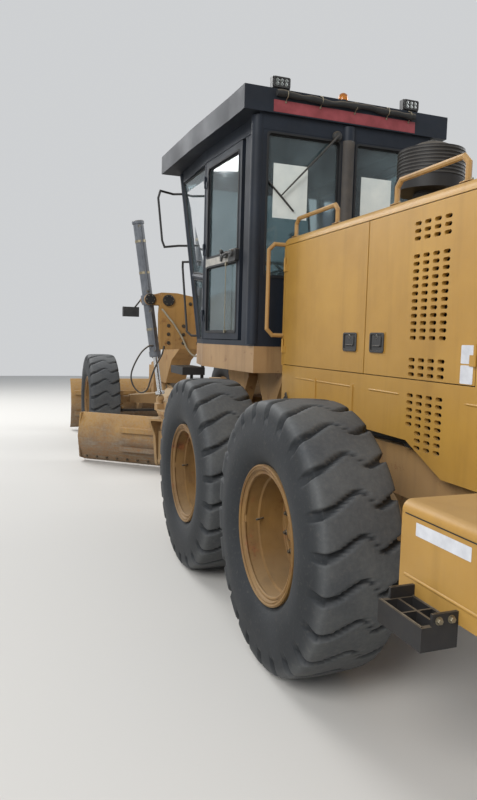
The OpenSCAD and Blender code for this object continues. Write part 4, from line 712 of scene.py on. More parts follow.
def tyre_shape():
    """A tyre about the Y axis at the origin: radius and place across by angle and section."""
    sec = full_section()
    tangent = np.roll(sec, -1, 0) - np.roll(sec, 1, 0)
    normal = unit(np.stack([tangent[:, 1], -tangent[:, 0]], -1))
    normal *= np.sign((normal * (sec - [0, 0.5])).sum(1))[:, None]
    n_turn = LUGS * STEPS_PER_LUG
    turn = np.arange(n_turn)[:, None] / STEPS_PER_LUG
    y, r = (np.broadcast_to(sec[:, k], (n_turn, len(sec))) for k in (0, 1))
    depth, cut = groove_depth(turn, y, r)
    # A raised line 4 mm high runs round the sidewall
    line = 0.004 * np.exp(-((r - 0.402) / 0.0045) ** 2) * (np.abs(y) > 0.19)
    y2, r2 = y + normal[:, 0] * (line - depth), r + normal[:, 1] * (line - depth)
    a = turn / LUGS * 2 * math.pi
    points = np.stack([r2 * np.cos(a), y2, r2 * np.sin(a)], -1)
    top = np.clip((r - 0.62) / 0.05, 0, 1) * (1 - np.clip(cut * 1.6, 0, 1))
    return points.reshape(-1, 3), grid_faces(n_turn, len(sec), True, True), top.reshape(-1)


# %% Six tyres
tyre_points, tyre_faces, tyre_top = tyre_shape()


def make_tyre(side, where):
    """One tyre in its place; on the right of the machine it is the mirror image."""
    s = SIDES[side]
    p = tyre_points * [1, s, 1]
    # The tread starts at an angle that puts a lug, not a groove, on the ground
    low = np.argmin(p[:, 2])
    turn = -math.pi / 2 - math.atan2(p[low, 2], p[low, 0])
    p = p @ about_y(turn) + at(STATIONS[where], s * TRACK, WHEEL_R)
    faces = tyre_faces if s < 0 else tyre_faces[:, ::-1]
    mesh = bpy.data.meshes.new(f"tread_{side}_{where}")
    mesh.from_pydata(p.tolist(), [], faces.tolist())
    mark = mesh.attributes.new("tread_top", "FLOAT", "POINT")
    mark.data.foreach_set("value", tyre_top.astype(np.float32))
    mesh.shade_smooth()
    mesh.materials.append(tread_rubber)
    obj = new_object(f"tread_{side}_{where}", mesh)
    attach(obj, f"wheel_{side}_{where}")
    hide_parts(f"tyre_{side}_{where}")
    return obj


tyres = [make_tyre(side, where) for side in SIDES for where in STATIONS]
print("tyre faces:", len(tyre_faces), "lowest point:", float(min(v.co.z for v in tyres[0].data.vertices)))

# %% [markdown]
# ** Hood fittings.** Each side door closes with a flush paddle latch: a moulded bezel, a paddle in a
# shallow pan and a key barrel. Behind the vent slots hangs a near-black sheet, painted shade for the
# engine bay, so that no daylight shows through. The plates and stickers stay blank.

# %% Latches, painted shade behind the vents, stickers and catches
FACE = 0.550


def latch(x, z, w, h):
    """A paddle latch on the left hood side, centred at x and z."""
    at_face = [x, FACE + 0.003, z]
    out, up = -X, Z
    bezel = framed(round_outline(w, h, 0.014), round_outline(w - 0.022, h - 0.022, 0.008), at_face, out, up, 0.006)
    pan = tile(w - 0.020, h - 0.020, 0.008, at_face, out, up, 0.0012)
    grip = tile(w * 0.62, h * 0.50, 0.009, [x, FACE + 0.004, z + h * 0.06], out, up, 0.0042)
    lip = tube([[x - w * 0.27, FACE + 0.0085, z - h * 0.17], [x + w * 0.27, FACE + 0.0085, z - h * 0.17]], 0.0032, 8)
    return together([bezel, pan, grip, lip])


def key_barrel(x, z):
    """The lock's round face with a raised rim and a slot for the key."""
    y = FACE + 0.0035
    rim = turned([[0, 0.012], [0.006, 0.012], [0.007, 0.0105], [0.007, 0.009], [0.004, 0.0085], [0.004, 0.0]],
                 [x, y, z], Y, 24)
    slot = tile(0.0022, 0.009, 0.001, [x, y + 0.0035, z], -X, Z, 0.0012)
    return together([rim, slot])


LATCHES = {"front": (0.460, 1.6735, 0.156, 0.111), "rear": (0.165, 1.6735, 0.142, 0.111)}
for door, (x, z, w, h) in LATCHES.items():
    body = "hood_door_{side}_" + door
    pair(f"latch_{door}", latch(x, z, w, h), black_plastic, body, "cab_plastic", bevel=0.0008)
    pair(f"lock_{door}", key_barrel(x, z + h * 0.28), pin_steel, body, "pin_steel")


def shade_sheet(x, z, dip):
    """A thin near-black sheet of painted shade behind the slots, bowed in the middle by dip, with its edges towards
    the panel.
    """
    u, v = np.meshgrid(np.linspace(0, 1, 9), np.linspace(0, 1, 13), indexing="ij")
    bow = dip * np.sin(math.pi * u) ** 0.5 * np.sin(math.pi * v) ** 0.5
    front = np.stack([x[0] + (x[1] - x[0]) * u, FACE - 0.0262 - bow, z[0] + (z[1] - z[0]) * v], -1).reshape(-1, 3)
    back = front - [0, 0.002, 0]
    f = grid_faces(9, 13)
    # Round the rim of the 9 by 13 points, and from each rim point of the front to the same one of the back
    n = 9 * 13
    edge = np.concatenate([np.arange(13), np.arange(1, 9) * 13 + 12, 8 * 13 + np.arange(11, -1, -1),
                           np.arange(7, 0, -1) * 13])
    nxt = np.roll(edge, -1)
    side = np.stack([edge, nxt, nxt + n, edge + n], -1)
    points = np.vstack([front, back])
    return points, facing(points, np.concatenate([f, f[:, ::-1] + n, side[:, ::-1]]).tolist())


SLOTS = (-0.50, -0.10)
# Painted shade: near-black sheets behind the slots stand in for the engine bay's shade
pair("vent_shade_door", shade_sheet(SLOTS, (1.495, 2.305), 0.02), painted_shade_black, "hood_door_{side}_rear", "black_paint")
pair("vent_shade_panel", shade_sheet(SLOTS, (1.135, 1.455), 0.01), painted_shade_black, "rear_frame", "black_paint")

# Blank stickers: two square films, one over the other, on the door's rear edge
films_and_painted_reflections = [tile(0.084, 0.084, 0.006, [-0.5775, FACE + 0.0004, z], -X, Z, 0.0006) for z in (1.632, 1.541)]
pair("blank_sticker", together(films_and_painted_reflections), white_film, "hood_door_{side}_rear", "ochre_paint", smooth=False)


def bead(x0, x1, y, z, r, n=9):
    """A long low bead in the sheet: a tube of n points, half sunk in it."""
    s = np.linspace(0, 1, n)
    return tube(np.stack([x0 + (x1 - x0) * s, np.full_like(s, y), np.full_like(s, z)], -1), r, 12)


# A pressed ridge sinks into the sheet at both ends
s = np.linspace(0, 1, 25)
sunk = 0.006 * np.clip(np.minimum(s, 1 - s) * 30 + 0.2, 0, 1)
ridges = [bead(x0, x1, FACE - 0.0021, 1.408, sunk, 25) for x0, x1 in ((1.24, 0.38), (0.24, -0.07), (-0.56, -1.56))]
pair("pressed_ridges", together(ridges), hood_enamel, "rear_frame", "ochre_paint")


def rubber_catch(a, b):
    """A stretched rubber draw latch: a strap that widens to a T-handle, hooked at both ends."""
    a, b = np.array(a, float), np.array(b, float)
    n, d = np.linalg.norm(b - a), unit(b - a)
    side = np.cross(d, Y)
    outline = [[0, -0.010], [n * 0.72, -0.010], [n * 0.76, -0.024], [n, -0.024], [n, 0.024], [n * 0.76, 0.024],
               [n * 0.72, 0.010], [0, 0.010]]
    strap = plate(outline, a, d, side, 0.009)
    hook = turned([[0, 0.010], [0.014, 0.010], [0.018, 0.006]], a + [0, 0.001, 0], Y, 16)
    return together([strap, hook])


catch = rubber_catch([1.415, FACE + 0.009, 1.215], [1.330, FACE + 0.012, 1.275])
pair("panel_catch", catch, hose_rubber, "rear_frame", "black_paint", bevel=0.002)
print("hood fittings made")

# %% [markdown]
# **Side boxes.** The rear boxes carry a white reflective strip and a rolled crease near the bottom.
# A rubber seal shows as a thin dark line in the seam under each lid.

# %% Side boxes
BOX_FACE = 1.150

strip = tile(0.285, 0.047, 0.003, [-1.2295, BOX_FACE + 0.0004, 1.028], -X, Z, 0.0008)
pair("reflective_strip", strip, white_film, "rear_frame", "ochre_paint", smooth=False)
seal = tile(0.660, 0.004, 0.0018, [-1.350, BOX_FACE + 0.0002, 1.0695], -X, Z, 0.0012)
pair("lid_seal", seal, trim_rubber, "rear_frame", "black_paint", smooth=False)
crease = bead(-1.670, -1.030, BOX_FACE - 0.003, 0.847, 0.007)
pair("box_crease", crease, hood_enamel, "rear_frame", "ochre_paint")
print("side boxes dressed")

# %% [markdown]
# **Cab glazing.** Every pane of such a cab sits in a rubber seal: one lip on the frame outside and
# one round the glass. The door's plane is turned a little, so one function finds places on it.

# %% Window seals and quarter panes
FLOOR_Z, ROOF_Z, ROOF_TOP = 1.620, 3.310, 3.480
DOOR_ALONG = np.array([0.99805, 0.06238, 0.0])
DOOR_IN = np.array([0.06238, -0.99805, 0.0])


def on_door(along, z, depth=0.0):
    """A place on the left door's outer face, measured from its rear edge; depth goes into the cab."""
    return np.array([2.636, 0.800, z]) + (along - 0.77) * DOOR_ALONG + depth * DOOR_IN


def seal(centre, u, v, w, h, out, glass):
    """Rubber round a window w by h: a lip on the frame's face, and a deeper ring at the glass."""
    n = np.cross(u, v)
    lip = framed(round_outline(w + 0.020, h + 0.020, 0.030), round_outline(w - 0.012, h - 0.012, 0.022),
                 centre - n * out, u, v, out + 0.005)
    ring = framed(round_outline(w, h, 0.022), round_outline(w - 0.030, h - 0.030, 0.012),
                  centre + n * (glass - 0.006), u, v, 0.018)
    return together([lip, ring])


door_seals = [seal(on_door(0.385, z), DOOR_ALONG, Z, 0.66, h, 0.004, 0.018)
              for z, h in ((2.006, 0.560), (2.750, 0.768))]
pair("door_seals", together(door_seals), trim_rubber, "cab_door_{side}", "black_paint", bevel=0.0015)
REAR_X, REAR_GLASS_X = 1.562, 1.586
rear_seal = seal(np.array([REAR_X, 0.3675, 2.660]), Y, Z, 0.595, 1.039, 0.005, 0.022)
pair("rear_window_seal", rear_seal, trim_rubber, "rear_frame", "black_paint", bevel=0.0015)

LEAN = math.atan2(0.360, 1.6894)
screen_up = np.array([math.sin(LEAN), 0, math.cos(LEAN)])
screen_out = np.array([math.cos(LEAN), 0, -math.sin(LEAN)])
screen_mid = np.array([3.170, 0, 1.6823]) + screen_up * 0.772
screen_seal = framed(round_outline(1.236, 1.560, 0.03), round_outline(1.184, 1.506, 0.02),
                     screen_mid + screen_out * 0.003, Y, screen_up, 0.009)
piece("windscreen_seal", screen_seal, trim_rubber, "rear_frame", "black_paint", bevel=0.0015)


def front_post(z):
    """The middle of the leaning front post at a height."""
    k = (z - FLOOR_Z) / (ROOF_Z - FLOOR_Z)
    return np.array([3.165 + 0.36 * k, 0.655 + 0.11 * k, z])


def quarter(z0, z1, front0, front1):
    """Corners of a pane between the door post and the leaning post, from the rear lower one."""
    inset = [-0.034, 0.012, 0]
    return np.array([[2.722, 0.762, z0], front_post(front0) + inset, front_post(front1) + inset, [2.722, 0.762, z1]])


def quad_plate(corners, thick):
    """A pane through four corners, thickened towards the cab's middle."""
    n = np.cross(corners[2] - corners[0], corners[3] - corners[1])
    n = n / np.linalg.norm(n) * (-1 if n[1] > 0 else 1)
    faces = [[0, 1, 2, 3], [7, 6, 5, 4]] + [[i, 4 + i, 4 + (i + 1) % 4, (i + 1) % 4] for i in range(4)]
    points = np.vstack([corners, corners + n * thick])
    return points, facing(points, faces)


def beading(corners, r):
    """A rubber bead that runs round four corners."""
    loop = np.vstack([corners, corners[:1]])
    path = np.concatenate([loop[i] + (loop[i + 1] - loop[i]) * np.linspace(0.0, 1, 9)[:-1, None] for i in range(4)]
                          + [loop[:1]])
    return tube(path, r, 8)


low_quarter = quarter(1.668, 2.178, 1.668, 2.245)
top_quarter = quarter(2.242, 3.192, 2.312, 3.192)
panes = together([quad_plate(q, 0.006) for q in (low_quarter, top_quarter)])
beads = together([beading(q, 0.009) for q in (low_quarter, top_quarter)])
pair("quarter_panes", panes, cab_pane, "rear_frame", "cab_glass", smooth=False)
pair("quarter_beads", beads, trim_rubber, "rear_frame", "black_paint")
# A blue sun band covers the top of the quarter pane
band, cut = top_quarter.copy(), 0.56
band[:2] += (band[3:1:-1] - band[:2]) * cut
pair("sun_band", quad_plate(band + [0, -0.007, 0], 0.0006), sun_film, "rear_frame", "cab_glass", smooth=False)
print("cab glazed")

# %% [markdown]
# **Door furniture.** On the door's middle rail sit a dusty plated cover, the latch body with its
# lever, and a second catch for holding the door open. A thin pull rod runs down past the window.

# %% Door latch, lever and rod
cover = tile(0.700, 0.074, 0.006, on_door(0.385, 2.326, -0.0035), DOOR_ALONG, Z, 0.0036)
pair("door_rail_cover", cover, rail_plate, "cab_door_{side}", "pin_steel", bevel=0.001)
case = tile(0.140, 0.098, 0.014, on_door(0.085, 2.330, -0.034), DOOR_ALONG, Z, 0.034)
boss = turned([[0, 0.030], [0.016, 0.028], [0.020, 0.022]], on_door(0.075, 2.345, -0.034), -DOOR_IN, 20)
lever = tube(smooth_path([on_door(0.075, 2.345, -0.048), on_door(0.13, 2.350, -0.056), on_door(0.20, 2.338, -0.060),
                          on_door(0.235, 2.322, -0.056)], 6), 0.0085, 10)
second = tile(0.075, 0.052, 0.012, on_door(0.265, 2.352, -0.026), DOOR_ALONG, Z, 0.024)
knob = turned([[0, 0.012], [0.006, 0.019], [0.018, 0.019], [0.024, 0.012]], on_door(0.285, 2.378, -0.030),
              -DOOR_IN, 16)
stop = tile(0.030, 0.060, 0.006, on_door(0.360, 2.338, -0.018), DOOR_ALONG, Z, 0.016)
pair("door_latch", together([case, boss, lever, second, knob, stop]), black_plastic, "cab_door_{side}", "cab_plastic",
     bevel=0.003)
rod = tube([on_door(0.250, 2.300, -0.012), on_door(0.250, 1.735, -0.012)], 0.0032, 8)
guides = [tile(0.020, 0.026, 0.004, on_door(0.250, z, -0.018), DOOR_ALONG, Z, 0.018) for z in (2.276, 1.732)]
pair("door_rod", together([rod] + guides), bolt_zinc, "cab_door_{side}", "pin_steel")
print("doors fitted")

# %% [markdown]
# ** Back of the cab.** A wiper hangs from the header, a red strip crosses the roof's fascia with a
# cloth-wrapped cable loom clipped above it, and two pale sheets on the glass are painted reflections.
# The round middle post has a sleeve painted lighter than the cab, a painted highlight.

# %% Wiper, painted reflections, strip and loom


def wiper(x_out, x_glass, pivot, joint, tip):
    """Motor cover, a two-part arm and a blade on the glass; places are (across, up)."""
    far = 2 * np.array(joint) - tip
    hub = turned([[-0.006, 0.040], [0.018, 0.038], [0.030, 0.028], [0.034, 0.012]], [x_out, *pivot], -X, 20)
    a, b = np.array([x_out - 0.040, *pivot]), np.array([x_glass - 0.024, *joint])
    path = smooth_path([a, a + (b - a) * 0.3 + [-0.004, 0, 0], a + (b - a) * 0.75, b], 5)
    arm = tube(path, np.linspace(0.009, 0.005, 16), 8)
    blade = tube([[x_glass - 0.014, *tip], [x_glass - 0.018, *joint], [x_glass - 0.014, *far]], 0.0055, 8)
    lip = plate([[0, 0], [1, 0], [1, 0.010], [0, 0.010]], [x_glass - 0.010, *tip], [0, *(far - tip)], X, 0.003)
    return together([hub, arm, blade, lip])


rear_wiper = wiper(REAR_X, REAR_GLASS_X, (0.105, 3.215), (0.548, 2.738), (0.438, 2.635))
piece("rear_wiper", rear_wiper, black_plastic, "rear_frame", "cab_plastic")
FASCIA_X, LOOM_Z = 1.530, 3.437


def back_sheet(x, y0, y1, z0, z1, thick):
    """A flat sheet across the cab's back, from y0 to y1 and from z0 to z1."""
    return plate([[y0, z0], [y1, z0], [y1, z1], [y0, z1]], [x, 0, 0], Y, Z, -thick)


# Two pale sheets on the rear glass are painted reflections
films_and_painted_reflections = [back_sheet(REAR_GLASS_X - 0.0003, *edges, 0.0006)
         for edges in ((0.326, 0.607, 2.578, 2.973), (-0.408, -0.136, 2.580, 2.950))]
piece("painted_window_reflections", together(films_and_painted_reflections), pale_painted_reflection, "rear_frame", "cab_glass", smooth=False)
red = back_sheet(FASCIA_X - 0.0004, -0.564, 0.643, 3.318, 3.402, 0.0012)
piece("red_strip", red, red_film, "rear_frame", "cab_paint", smooth=False)
s = np.linspace(0, 1, 61)
loom_path = np.stack([FASCIA_X - 0.024 + 0.004 * np.sin(19 * s), 0.63 - 1.17 * s,
                      LOOM_Z + 0.006 * np.sin(11 * s + 1) + 0.003 * np.sin(31 * s)], -1)
loom = tube(loom_path, 0.021 + 0.003 * np.sin(27 * s) + 0.002 * np.sin(60 * s), 14)
piece("roof_loom", loom, canvas_wrap, "rear_frame", "black_paint")


def saddle_clip(y):
    """A bent strap over the loom with a foot above and below, screwed to the fascia."""
    a = np.radians(np.linspace(-90, 90, 9))
    over = [[FASCIA_X - 0.022 - 0.026 * math.cos(q), y, LOOM_Z + 0.027 * math.sin(q)] for q in a]
    foot = FASCIA_X - 0.002
    strap = tube([[foot, y, LOOM_Z - 0.044], *over, [foot, y, LOOM_Z + 0.040]], 0.0035, 6)
    return together([strap, hex_bolt([foot, y, LOOM_Z - 0.046], -X, 0.010, 0.005)])


clips = together([saddle_clip(y) for y in (0.55, 0.27, -0.02, -0.30, -0.50)])
piece("loom_clips", clips, bolt_zinc, "rear_frame", "pin_steel")
# The post's sleeve is painted lighter than the cab: a painted highlight
post_cover = turned([[0, 0.050], [0.004, 0.0535], [0.030, 0.0535], [0.034, 0.0512], [1.494, 0.0512], [1.498, 0.0535],
                     [1.524, 0.0535], [1.528, 0.050]], [1.575, 0, 1.664], Z, 40)
piece("rear_post_cover", post_cover, post_painted_highlight, "rear_frame", "cab_paint")
print("cab back dressed")

# %% [markdown]
# **Lamps on the roof.** Each work lamp is a cast housing with cooling ribs, a bezel and six lenses.
# An amber beacon stands on the foot in the middle.

# %% Work lamps and beacon
LAMP_Z = ROOF_TOP - 0.025 + 0.0553 + 0.040


def lamp_dress(x, y, way):
    """Ribs on the back, a bezel and lenses on the front of one lamp head; way is 1 ahead or -1 back."""
    face = x + way * 0.035
    rib = np.array([0.004, 0.002, 0.034])
    backs = [np.array([x - way * 0.0255, y + k, LAMP_Z]) for k in np.linspace(-0.06, 0.06, 9)]
    bezel = framed(round_outline(0.134, 0.076, 0.012), round_outline(0.112, 0.054, 0.006), [face, y, LAMP_Z],
                   way * Y, Z, 0.003)
    cup = [[0.0, 0.013], [0.001, 0.013], [0.0022, 0.009], [0.0026, 0.0]]
    cups = [turned(cup, [face, y + j, LAMP_Z + k], way * X, 16) for j in (-0.036, 0, 0.036) for k in (-0.013, 0.013)]
    return together([block(q - rib, q + rib) for q in backs] + [bezel]), together(cups)


work = [lamp_dress(x, y, way) for x, half, way in ((1.620, 0.56, -1), (3.560, 0.62, 1)) for y in (half, -half)]
piece("work_lamp_housings", together([w[0] for w in work]), black_plastic, "rear_frame", "cab_plastic", bevel=0.0006)
piece("work_lamp_lenses", together([w[1] for w in work]), lamp_pane, "rear_frame", "cab_glass")
beacon_foot = [1.680, 0, ROOF_TOP - 0.025 + 0.0703]
dome = [[0, 0.034], [0.004, 0.040], [0.030, 0.039], [0.050, 0.031], [0.060, 0.016], [0.063, 0.0]]
piece("beacon", turned(dome, beacon_foot, Z), amber_lens, "rear_frame", "cab_glass")
base = turned([[-0.012, 0.022], [-0.010, 0.044], [0.002, 0.044], [0.004, 0.036]], beacon_foot, Z)
piece("beacon_base", base, black_plastic, "rear_frame", "cab_plastic")
print("roof lamps made")

# %% [markdown]
# **Wheel fittings.** A demountable rim has a lock ring that holds the loose flange, a disc bolted to
# the hub by ten nuts, a valve, and a hub cover with its own bolts and a plug.

# %% Lock rings, nuts, valves and hub covers


def ring_tube(y, ring_r, r, start=0.0, end=360.0):
    """A round wire bent to an arc about the wheel's axis."""
    a = np.radians(np.linspace(start, end, 73))
    return tube(np.stack([ring_r * np.cos(a), np.full_like(a, y), ring_r * np.sin(a)], -1), r, 8)


def around(shape, count, start=0.0):
    """Copies of a shape turned about the wheel's axis."""
    turns = np.radians(start + 360 * np.arange(count) / count)
    return together([(np.asarray(shape[0]) @ about_y(q), shape[1]) for q in turns])


seat = [0.172, -0.036, 0]
nut = turned([[0, 0.020], [0.004, 0.020], [0.0045, 0.0165], [0.022, 0.0165], [0.025, 0.014]], seat, Y, 6)
stud = turned([[0.02, 0.0095], [0.034, 0.0095], [0.036, 0.008]], seat, Y, 12)
nuts = around(together([nut, stud]), 10, 18)
cover = turned([[0, 0.098], [0.006, 0.098], [0.010, 0.092], [0.012, 0.060], [0.034, 0.054], [0.040, 0.046],
                [0.041, 0.018], [0.048, 0.017], [0.050, 0.0]], [0, -0.0055, 0], Y, 40)
cover_bolts = around(hex_bolt([0.078, 0.006, 0], Y, 0.016, 0.009), 8)
valve = together([tube(smooth_path([[0.300, 0.060, 0], [0.286, 0.075, 0], [0.272, 0.100, 0.0]], 6), 0.0048, 8),
                  turned([[0, 0.0065], [0.018, 0.0065], [0.020, 0.005]], [0.272, 0.100, 0], [-0.35, 1, 0], 10)])
lock_ring = together([ring_tube(0.168, 0.3145, 0.0095, 4, 356), ring_tube(0.186, 0.3475, 0.0050),
                      ring_tube(0.1865, 0.3330, 0.0022)])
# Two steps pressed in the disc between the nuts and the rim
pressed = together([ring_tube(-0.0420, 0.232, 0.0075), ring_tube(-0.0475, 0.272, 0.0050)])
for side, sgn in SIDES.items():
    for where, x in STATIONS.items():
        here, body = [x, TRACK, WHEEL_R], f"wheel_{side}_{where}"
        sets = {"lock_ring": (together([lock_ring, pressed]), rim_enamel, "ochre_paint"),
                "wheel_nuts": (together([nuts, cover_bolts]), bolt_dark, "pin_steel"),
                "hub_cover": (cover, rim_enamel, "ochre_paint"), "valve": (valve, hose_rubber, "black_paint")}
        for name, (shape, material, slot) in sets.items():
            shape = moved(shape, here)
            piece(f"{name}_{side}_{where}", shape if sgn > 0 else mirrored(shape), material, body, slot)
print("wheels fitted")

# %% [markdown]
# **On the hood.** The air intake has a louvred drum, a clamp round its neck and a knob on its cap,
# and the exhaust pipe has a bolted flange and two rings. A filler cap and lifting eyes stand on
# the sheet, and bolts hold the rails' feet.

# %% Intake, exhaust and hood top
HOOD_TOP = 2.420
INTAKE, EXHAUST = np.array([0.520, 0.0, HOOD_TOP]), np.array([0.950, -0.300, HOOD_TOP])
RAIL_X, RAIL_Y = (1.40, 0.79, 0.13, -0.44), 0.49
louvre = [[0, 0.1985], [0.004, 0.2045], [0.010, 0.2045], [0.014, 0.1985]]
intake = [turned(louvre, INTAKE + [0, 0, z], Z, 48) for z in np.linspace(0.262, 0.408, 8)]
intake.append(turned([[0, 0.0975], [0.003, 0.101], [0.021, 0.101], [0.024, 0.0975]], INTAKE + [0, 0, 0.150], Z, 40))
intake.append(turned([[0, 0.030], [0.010, 0.034], [0.024, 0.030], [0.030, 0.012]], INTAKE + [0, 0, 0.474], Z, 24))
piece("intake_louvres", together(intake), black_plastic, "rear_frame", "cab_plastic")
ring = [[0, 0.0478], [0.003, 0.0505], [0.010, 0.0505], [0.013, 0.0478]]
exhaust = [turned([[0, 0.078], [0.012, 0.078], [0.014, 0.072]], EXHAUST + [0, 0, 0.058], Z, 40)]
exhaust += [turned(ring, EXHAUST + [0, 0, z], Z) for z in (0.110, 0.300)]
exhaust += [hex_bolt(EXHAUST + [0.064 * math.cos(a), 0.064 * math.sin(a), 0.072], Z, 0.016, 0.009)
            for a in np.radians([45, 135, 225, 315])]
piece("exhaust_fittings", together(exhaust), scorched_steel, "rear_frame", "black_paint")
cap = turned([[0, 0.050], [0.010, 0.052], [0.014, 0.044], [0.030, 0.042], [0.036, 0.034], [0.037, 0.0]],
             [-0.95, 0.22, HOOD_TOP], Z)
piece("filler_cap", cap, black_plastic, "rear_frame", "cab_plastic")


def lifting_eye(x, y):
    """A plate with a round eye, welded across the hood's top."""
    a = np.radians(np.linspace(0, 180, 13))
    arch = np.stack([0.032 * np.cos(a), 0.030 + 0.032 * np.sin(a)], -1)
    outer = np.concatenate([arch, [[-0.040, 0.0], [0.040, 0.0]]])
    b = np.radians(np.linspace(0, 360, 15, endpoint=False) - 12)
    inner = np.stack([0.014 * np.cos(b), 0.032 + 0.014 * np.sin(b)], -1)
    return framed(outer, inner, [x, y - 0.005, HOOD_TOP], X, Z, -0.010)


eyes = together([lifting_eye(x, y) for x in (1.25, -1.35) for y in (-0.25, 0.25)])
piece("lifting_eyes", eyes, hood_enamel, "rear_frame", "ochre_paint", bevel=0.001)
rail_bolts = [hex_bolt([x + dx, RAIL_Y, HOOD_TOP + 0.0045], Z, 0.013, 0.008)
              for x in RAIL_X for dx in (0.026, -0.026)]
rail_feet = [tile(0.082, 0.046, 0.010, [x, RAIL_Y, HOOD_TOP + 0.0003], X, Y, 0.004) for x in RAIL_X]
pair("rail_feet", together(rail_feet), rail_enamel, "rear_frame", "ochre_paint")
pair("rail_bolts", together(rail_bolts), bolt_zinc, "rear_frame", "pin_steel")
print("hood top dressed")

# %% [markdown]
# **Tail of the machine.** Round-cornered lamp clusters with a clear, an amber and a red field stand
# on the rear corners of the hood.

# %% Tail lamps
TAIL_X, TAIL_Y, TAIL_Z = -1.620, 0.470, 1.640
box = tile(0.112, 0.236, 0.018, [TAIL_X - 0.0003, TAIL_Y, TAIL_Z], -Y, Z, 0.030)
pair("tail_lamp_housing", box, black_plastic, "rear_frame", "cab_plastic", bevel=0.004)
for k, (name, glass) in enumerate((("clear", lamp_pane), ("amber", amber_lens), ("red", red_lens))):
    lens = tile(0.092, 0.066, 0.010, [TAIL_X - 0.030, TAIL_Y, TAIL_Z + (k - 1) * 0.072], -Y, Z, 0.009)
    pair(f"tail_lens_{name}", lens, glass, "rear_frame", "cab_glass", bevel=0.002)
print("tail lamps made")

# %% [markdown]
# **Lift cylinders.** Each one gets a cap, clamp bands with a steel side pipe, a gland with a wiper, and
# a rubber seal ring over its ball. They lean along one axis from the yoke to the ball on the drawbar.

# %% Lift cylinders, yoke caps and seals
YOKE = np.array([4.650, 0.870, 2.100])
BALL = np.array([4.650, 0.700, 0.930])
LEAN = unit(YOKE - BALL)


def on_lift(k, back=0.0):
    """A point k metres up the cylinder from the yoke, moved back."""
    return YOKE + k * LEAN - back * X


cap = turned([[0.874, 0.061], [0.874, 0.070], [0.902, 0.070], [0.910, 0.062], [0.910, 0.0]], YOKE, LEAN, 40)
bands = [hoop([[k, 0.0595], [k + 0.028, 0.0595], [k + 0.028, 0.0635], [k, 0.0635]], YOKE, LEAN)
         for k in (0.30, 0.66, -0.36)]
gland = hoop([[-0.677, 0.034], [-0.677, 0.057], [-0.6705, 0.063], [-0.6705, 0.034]], YOKE, LEAN, 40)
pair("lift_cap", together([cap, gland]), barrel_enamel, "lift_barrel_{side}", "black_paint")
pair("lift_bands", together(bands), bolt_zinc, "lift_barrel_{side}", "pin_steel")
wiper = hoop([[-0.679, 0.0315], [-0.679, 0.046], [-0.6772, 0.049], [-0.6772, 0.0315]], YOKE, LEAN)
pair("rod_wiper", wiper, trim_rubber, "lift_barrel_{side}", "black_paint")


def side_pipe(top, low):
    """A bent steel pipe along the barrel's rear, with an elbow at both ends."""
    straight = [top - 0.012, top - 0.040, *np.linspace(top - 0.1, low + 0.1, 6), low + 0.040, low + 0.012]
    path = [on_lift(top, 0.050), on_lift(top, 0.072), *(on_lift(k, 0.0765) for k in straight),
            on_lift(low, 0.072), on_lift(low, 0.050)]
    return tube(smooth_path(path, 4), 0.0095, 10)


ports = [turned([[0.045, 0.019], [0.064, 0.019], [0.064, 0.014], [0.071, 0.014]], on_lift(k), -X, 6)
         for k in (0.84, 0.10, -0.14, -0.60)]
pipes = together([side_pipe(0.84, 0.10), side_pipe(-0.14, -0.60)])
pair("lift_pipes", pipes, barrel_enamel, "lift_barrel_{side}", "pin_steel")
pair("lift_ports", together(ports), bolt_zinc, "lift_barrel_{side}", "pin_steel")

seal = hoop([[0.0505, 0.022], [0.0505, 0.048], [0.0545, 0.0555], [0.0558, 0.0555], [0.0558, 0.022]], BALL, LEAN)
pair("ball_seal", seal, hose_rubber, "lift_rod_{side}", "pin_steel")

# The trunnion's round cap on the rear ear, and the lock cylinder's cap beside it
EAR, LOCK = np.array([4.523, 0.870, 2.100]), np.array([4.470, 0.668, 2.092])
ear = turned([[0.016, 0.0005], [0.016, 0.030], [0.0003, 0.030], [0.0003, 0.063], [0.018, 0.063], [0.025, 0.056],
              [0.025, 0.0]], EAR, -X, 36)
lock = turned([[0.0003, 0.066], [0.030, 0.066], [0.038, 0.058], [0.038, 0.0]], LOCK, -X, 36)
pair("yoke_caps", together([ear, lock]), black_enamel, "front_frame", "black_paint")
cap_bolts = [hex_bolt(mid + [-back, r * np.cos(a), r * np.sin(a)], -X, 0.011, 0.006, False)
             for mid, back, r in ((EAR, 0.0235, 0.046), (LOCK, 0.036, 0.050)) for a in np.radians(range(0, 360, 60))]
pair("yoke_cap_bolts", together(cap_bolts), bolt_zinc, "front_frame", "pin_steel")
print("lift cylinders dressed")

# %% [markdown]
# **Gooseneck.** Four hoses lie clamped along its top from the cab to the nose, and the saddle plate
# shows the bolts that hold it to the neck.

# %% Hoses along the neck, saddle bolts
# The neck's top as (place along, height)
NECK_TOP = np.array([[3.440, 1.443], [3.700, 2.000], [3.950, 2.180], [5.200, 2.060], [6.600, 1.560], [6.960, 1.353]])


def neck_run(y, lift):
    """A line at one side of the neck's top, lift metres off it and rounded at the bends."""
    soft = smooth_path(np.stack([NECK_TOP[:, 0], np.full(6, y), NECK_TOP[:, 1]], -1), 14)
    step = np.gradient(soft, axis=0)
    up = unit(np.stack([-step[:, 2], np.zeros(len(step)), step[:, 0]], -1))
    flat = np.interp(soft[:, 0], NECK_TOP[:, 0], NECK_TOP[:, 1])
    rise = np.maximum(flat - soft[:, 2], 0)
    return soft + up * (lift + rise)[:, None]


runs = [tube(neck_run(y, 0.019), 0.0105, 10) for y in (-0.066, -0.024, 0.024, 0.066)]
piece("neck_hoses", together(runs), hose_rubber, "front_frame", "cab_plastic")


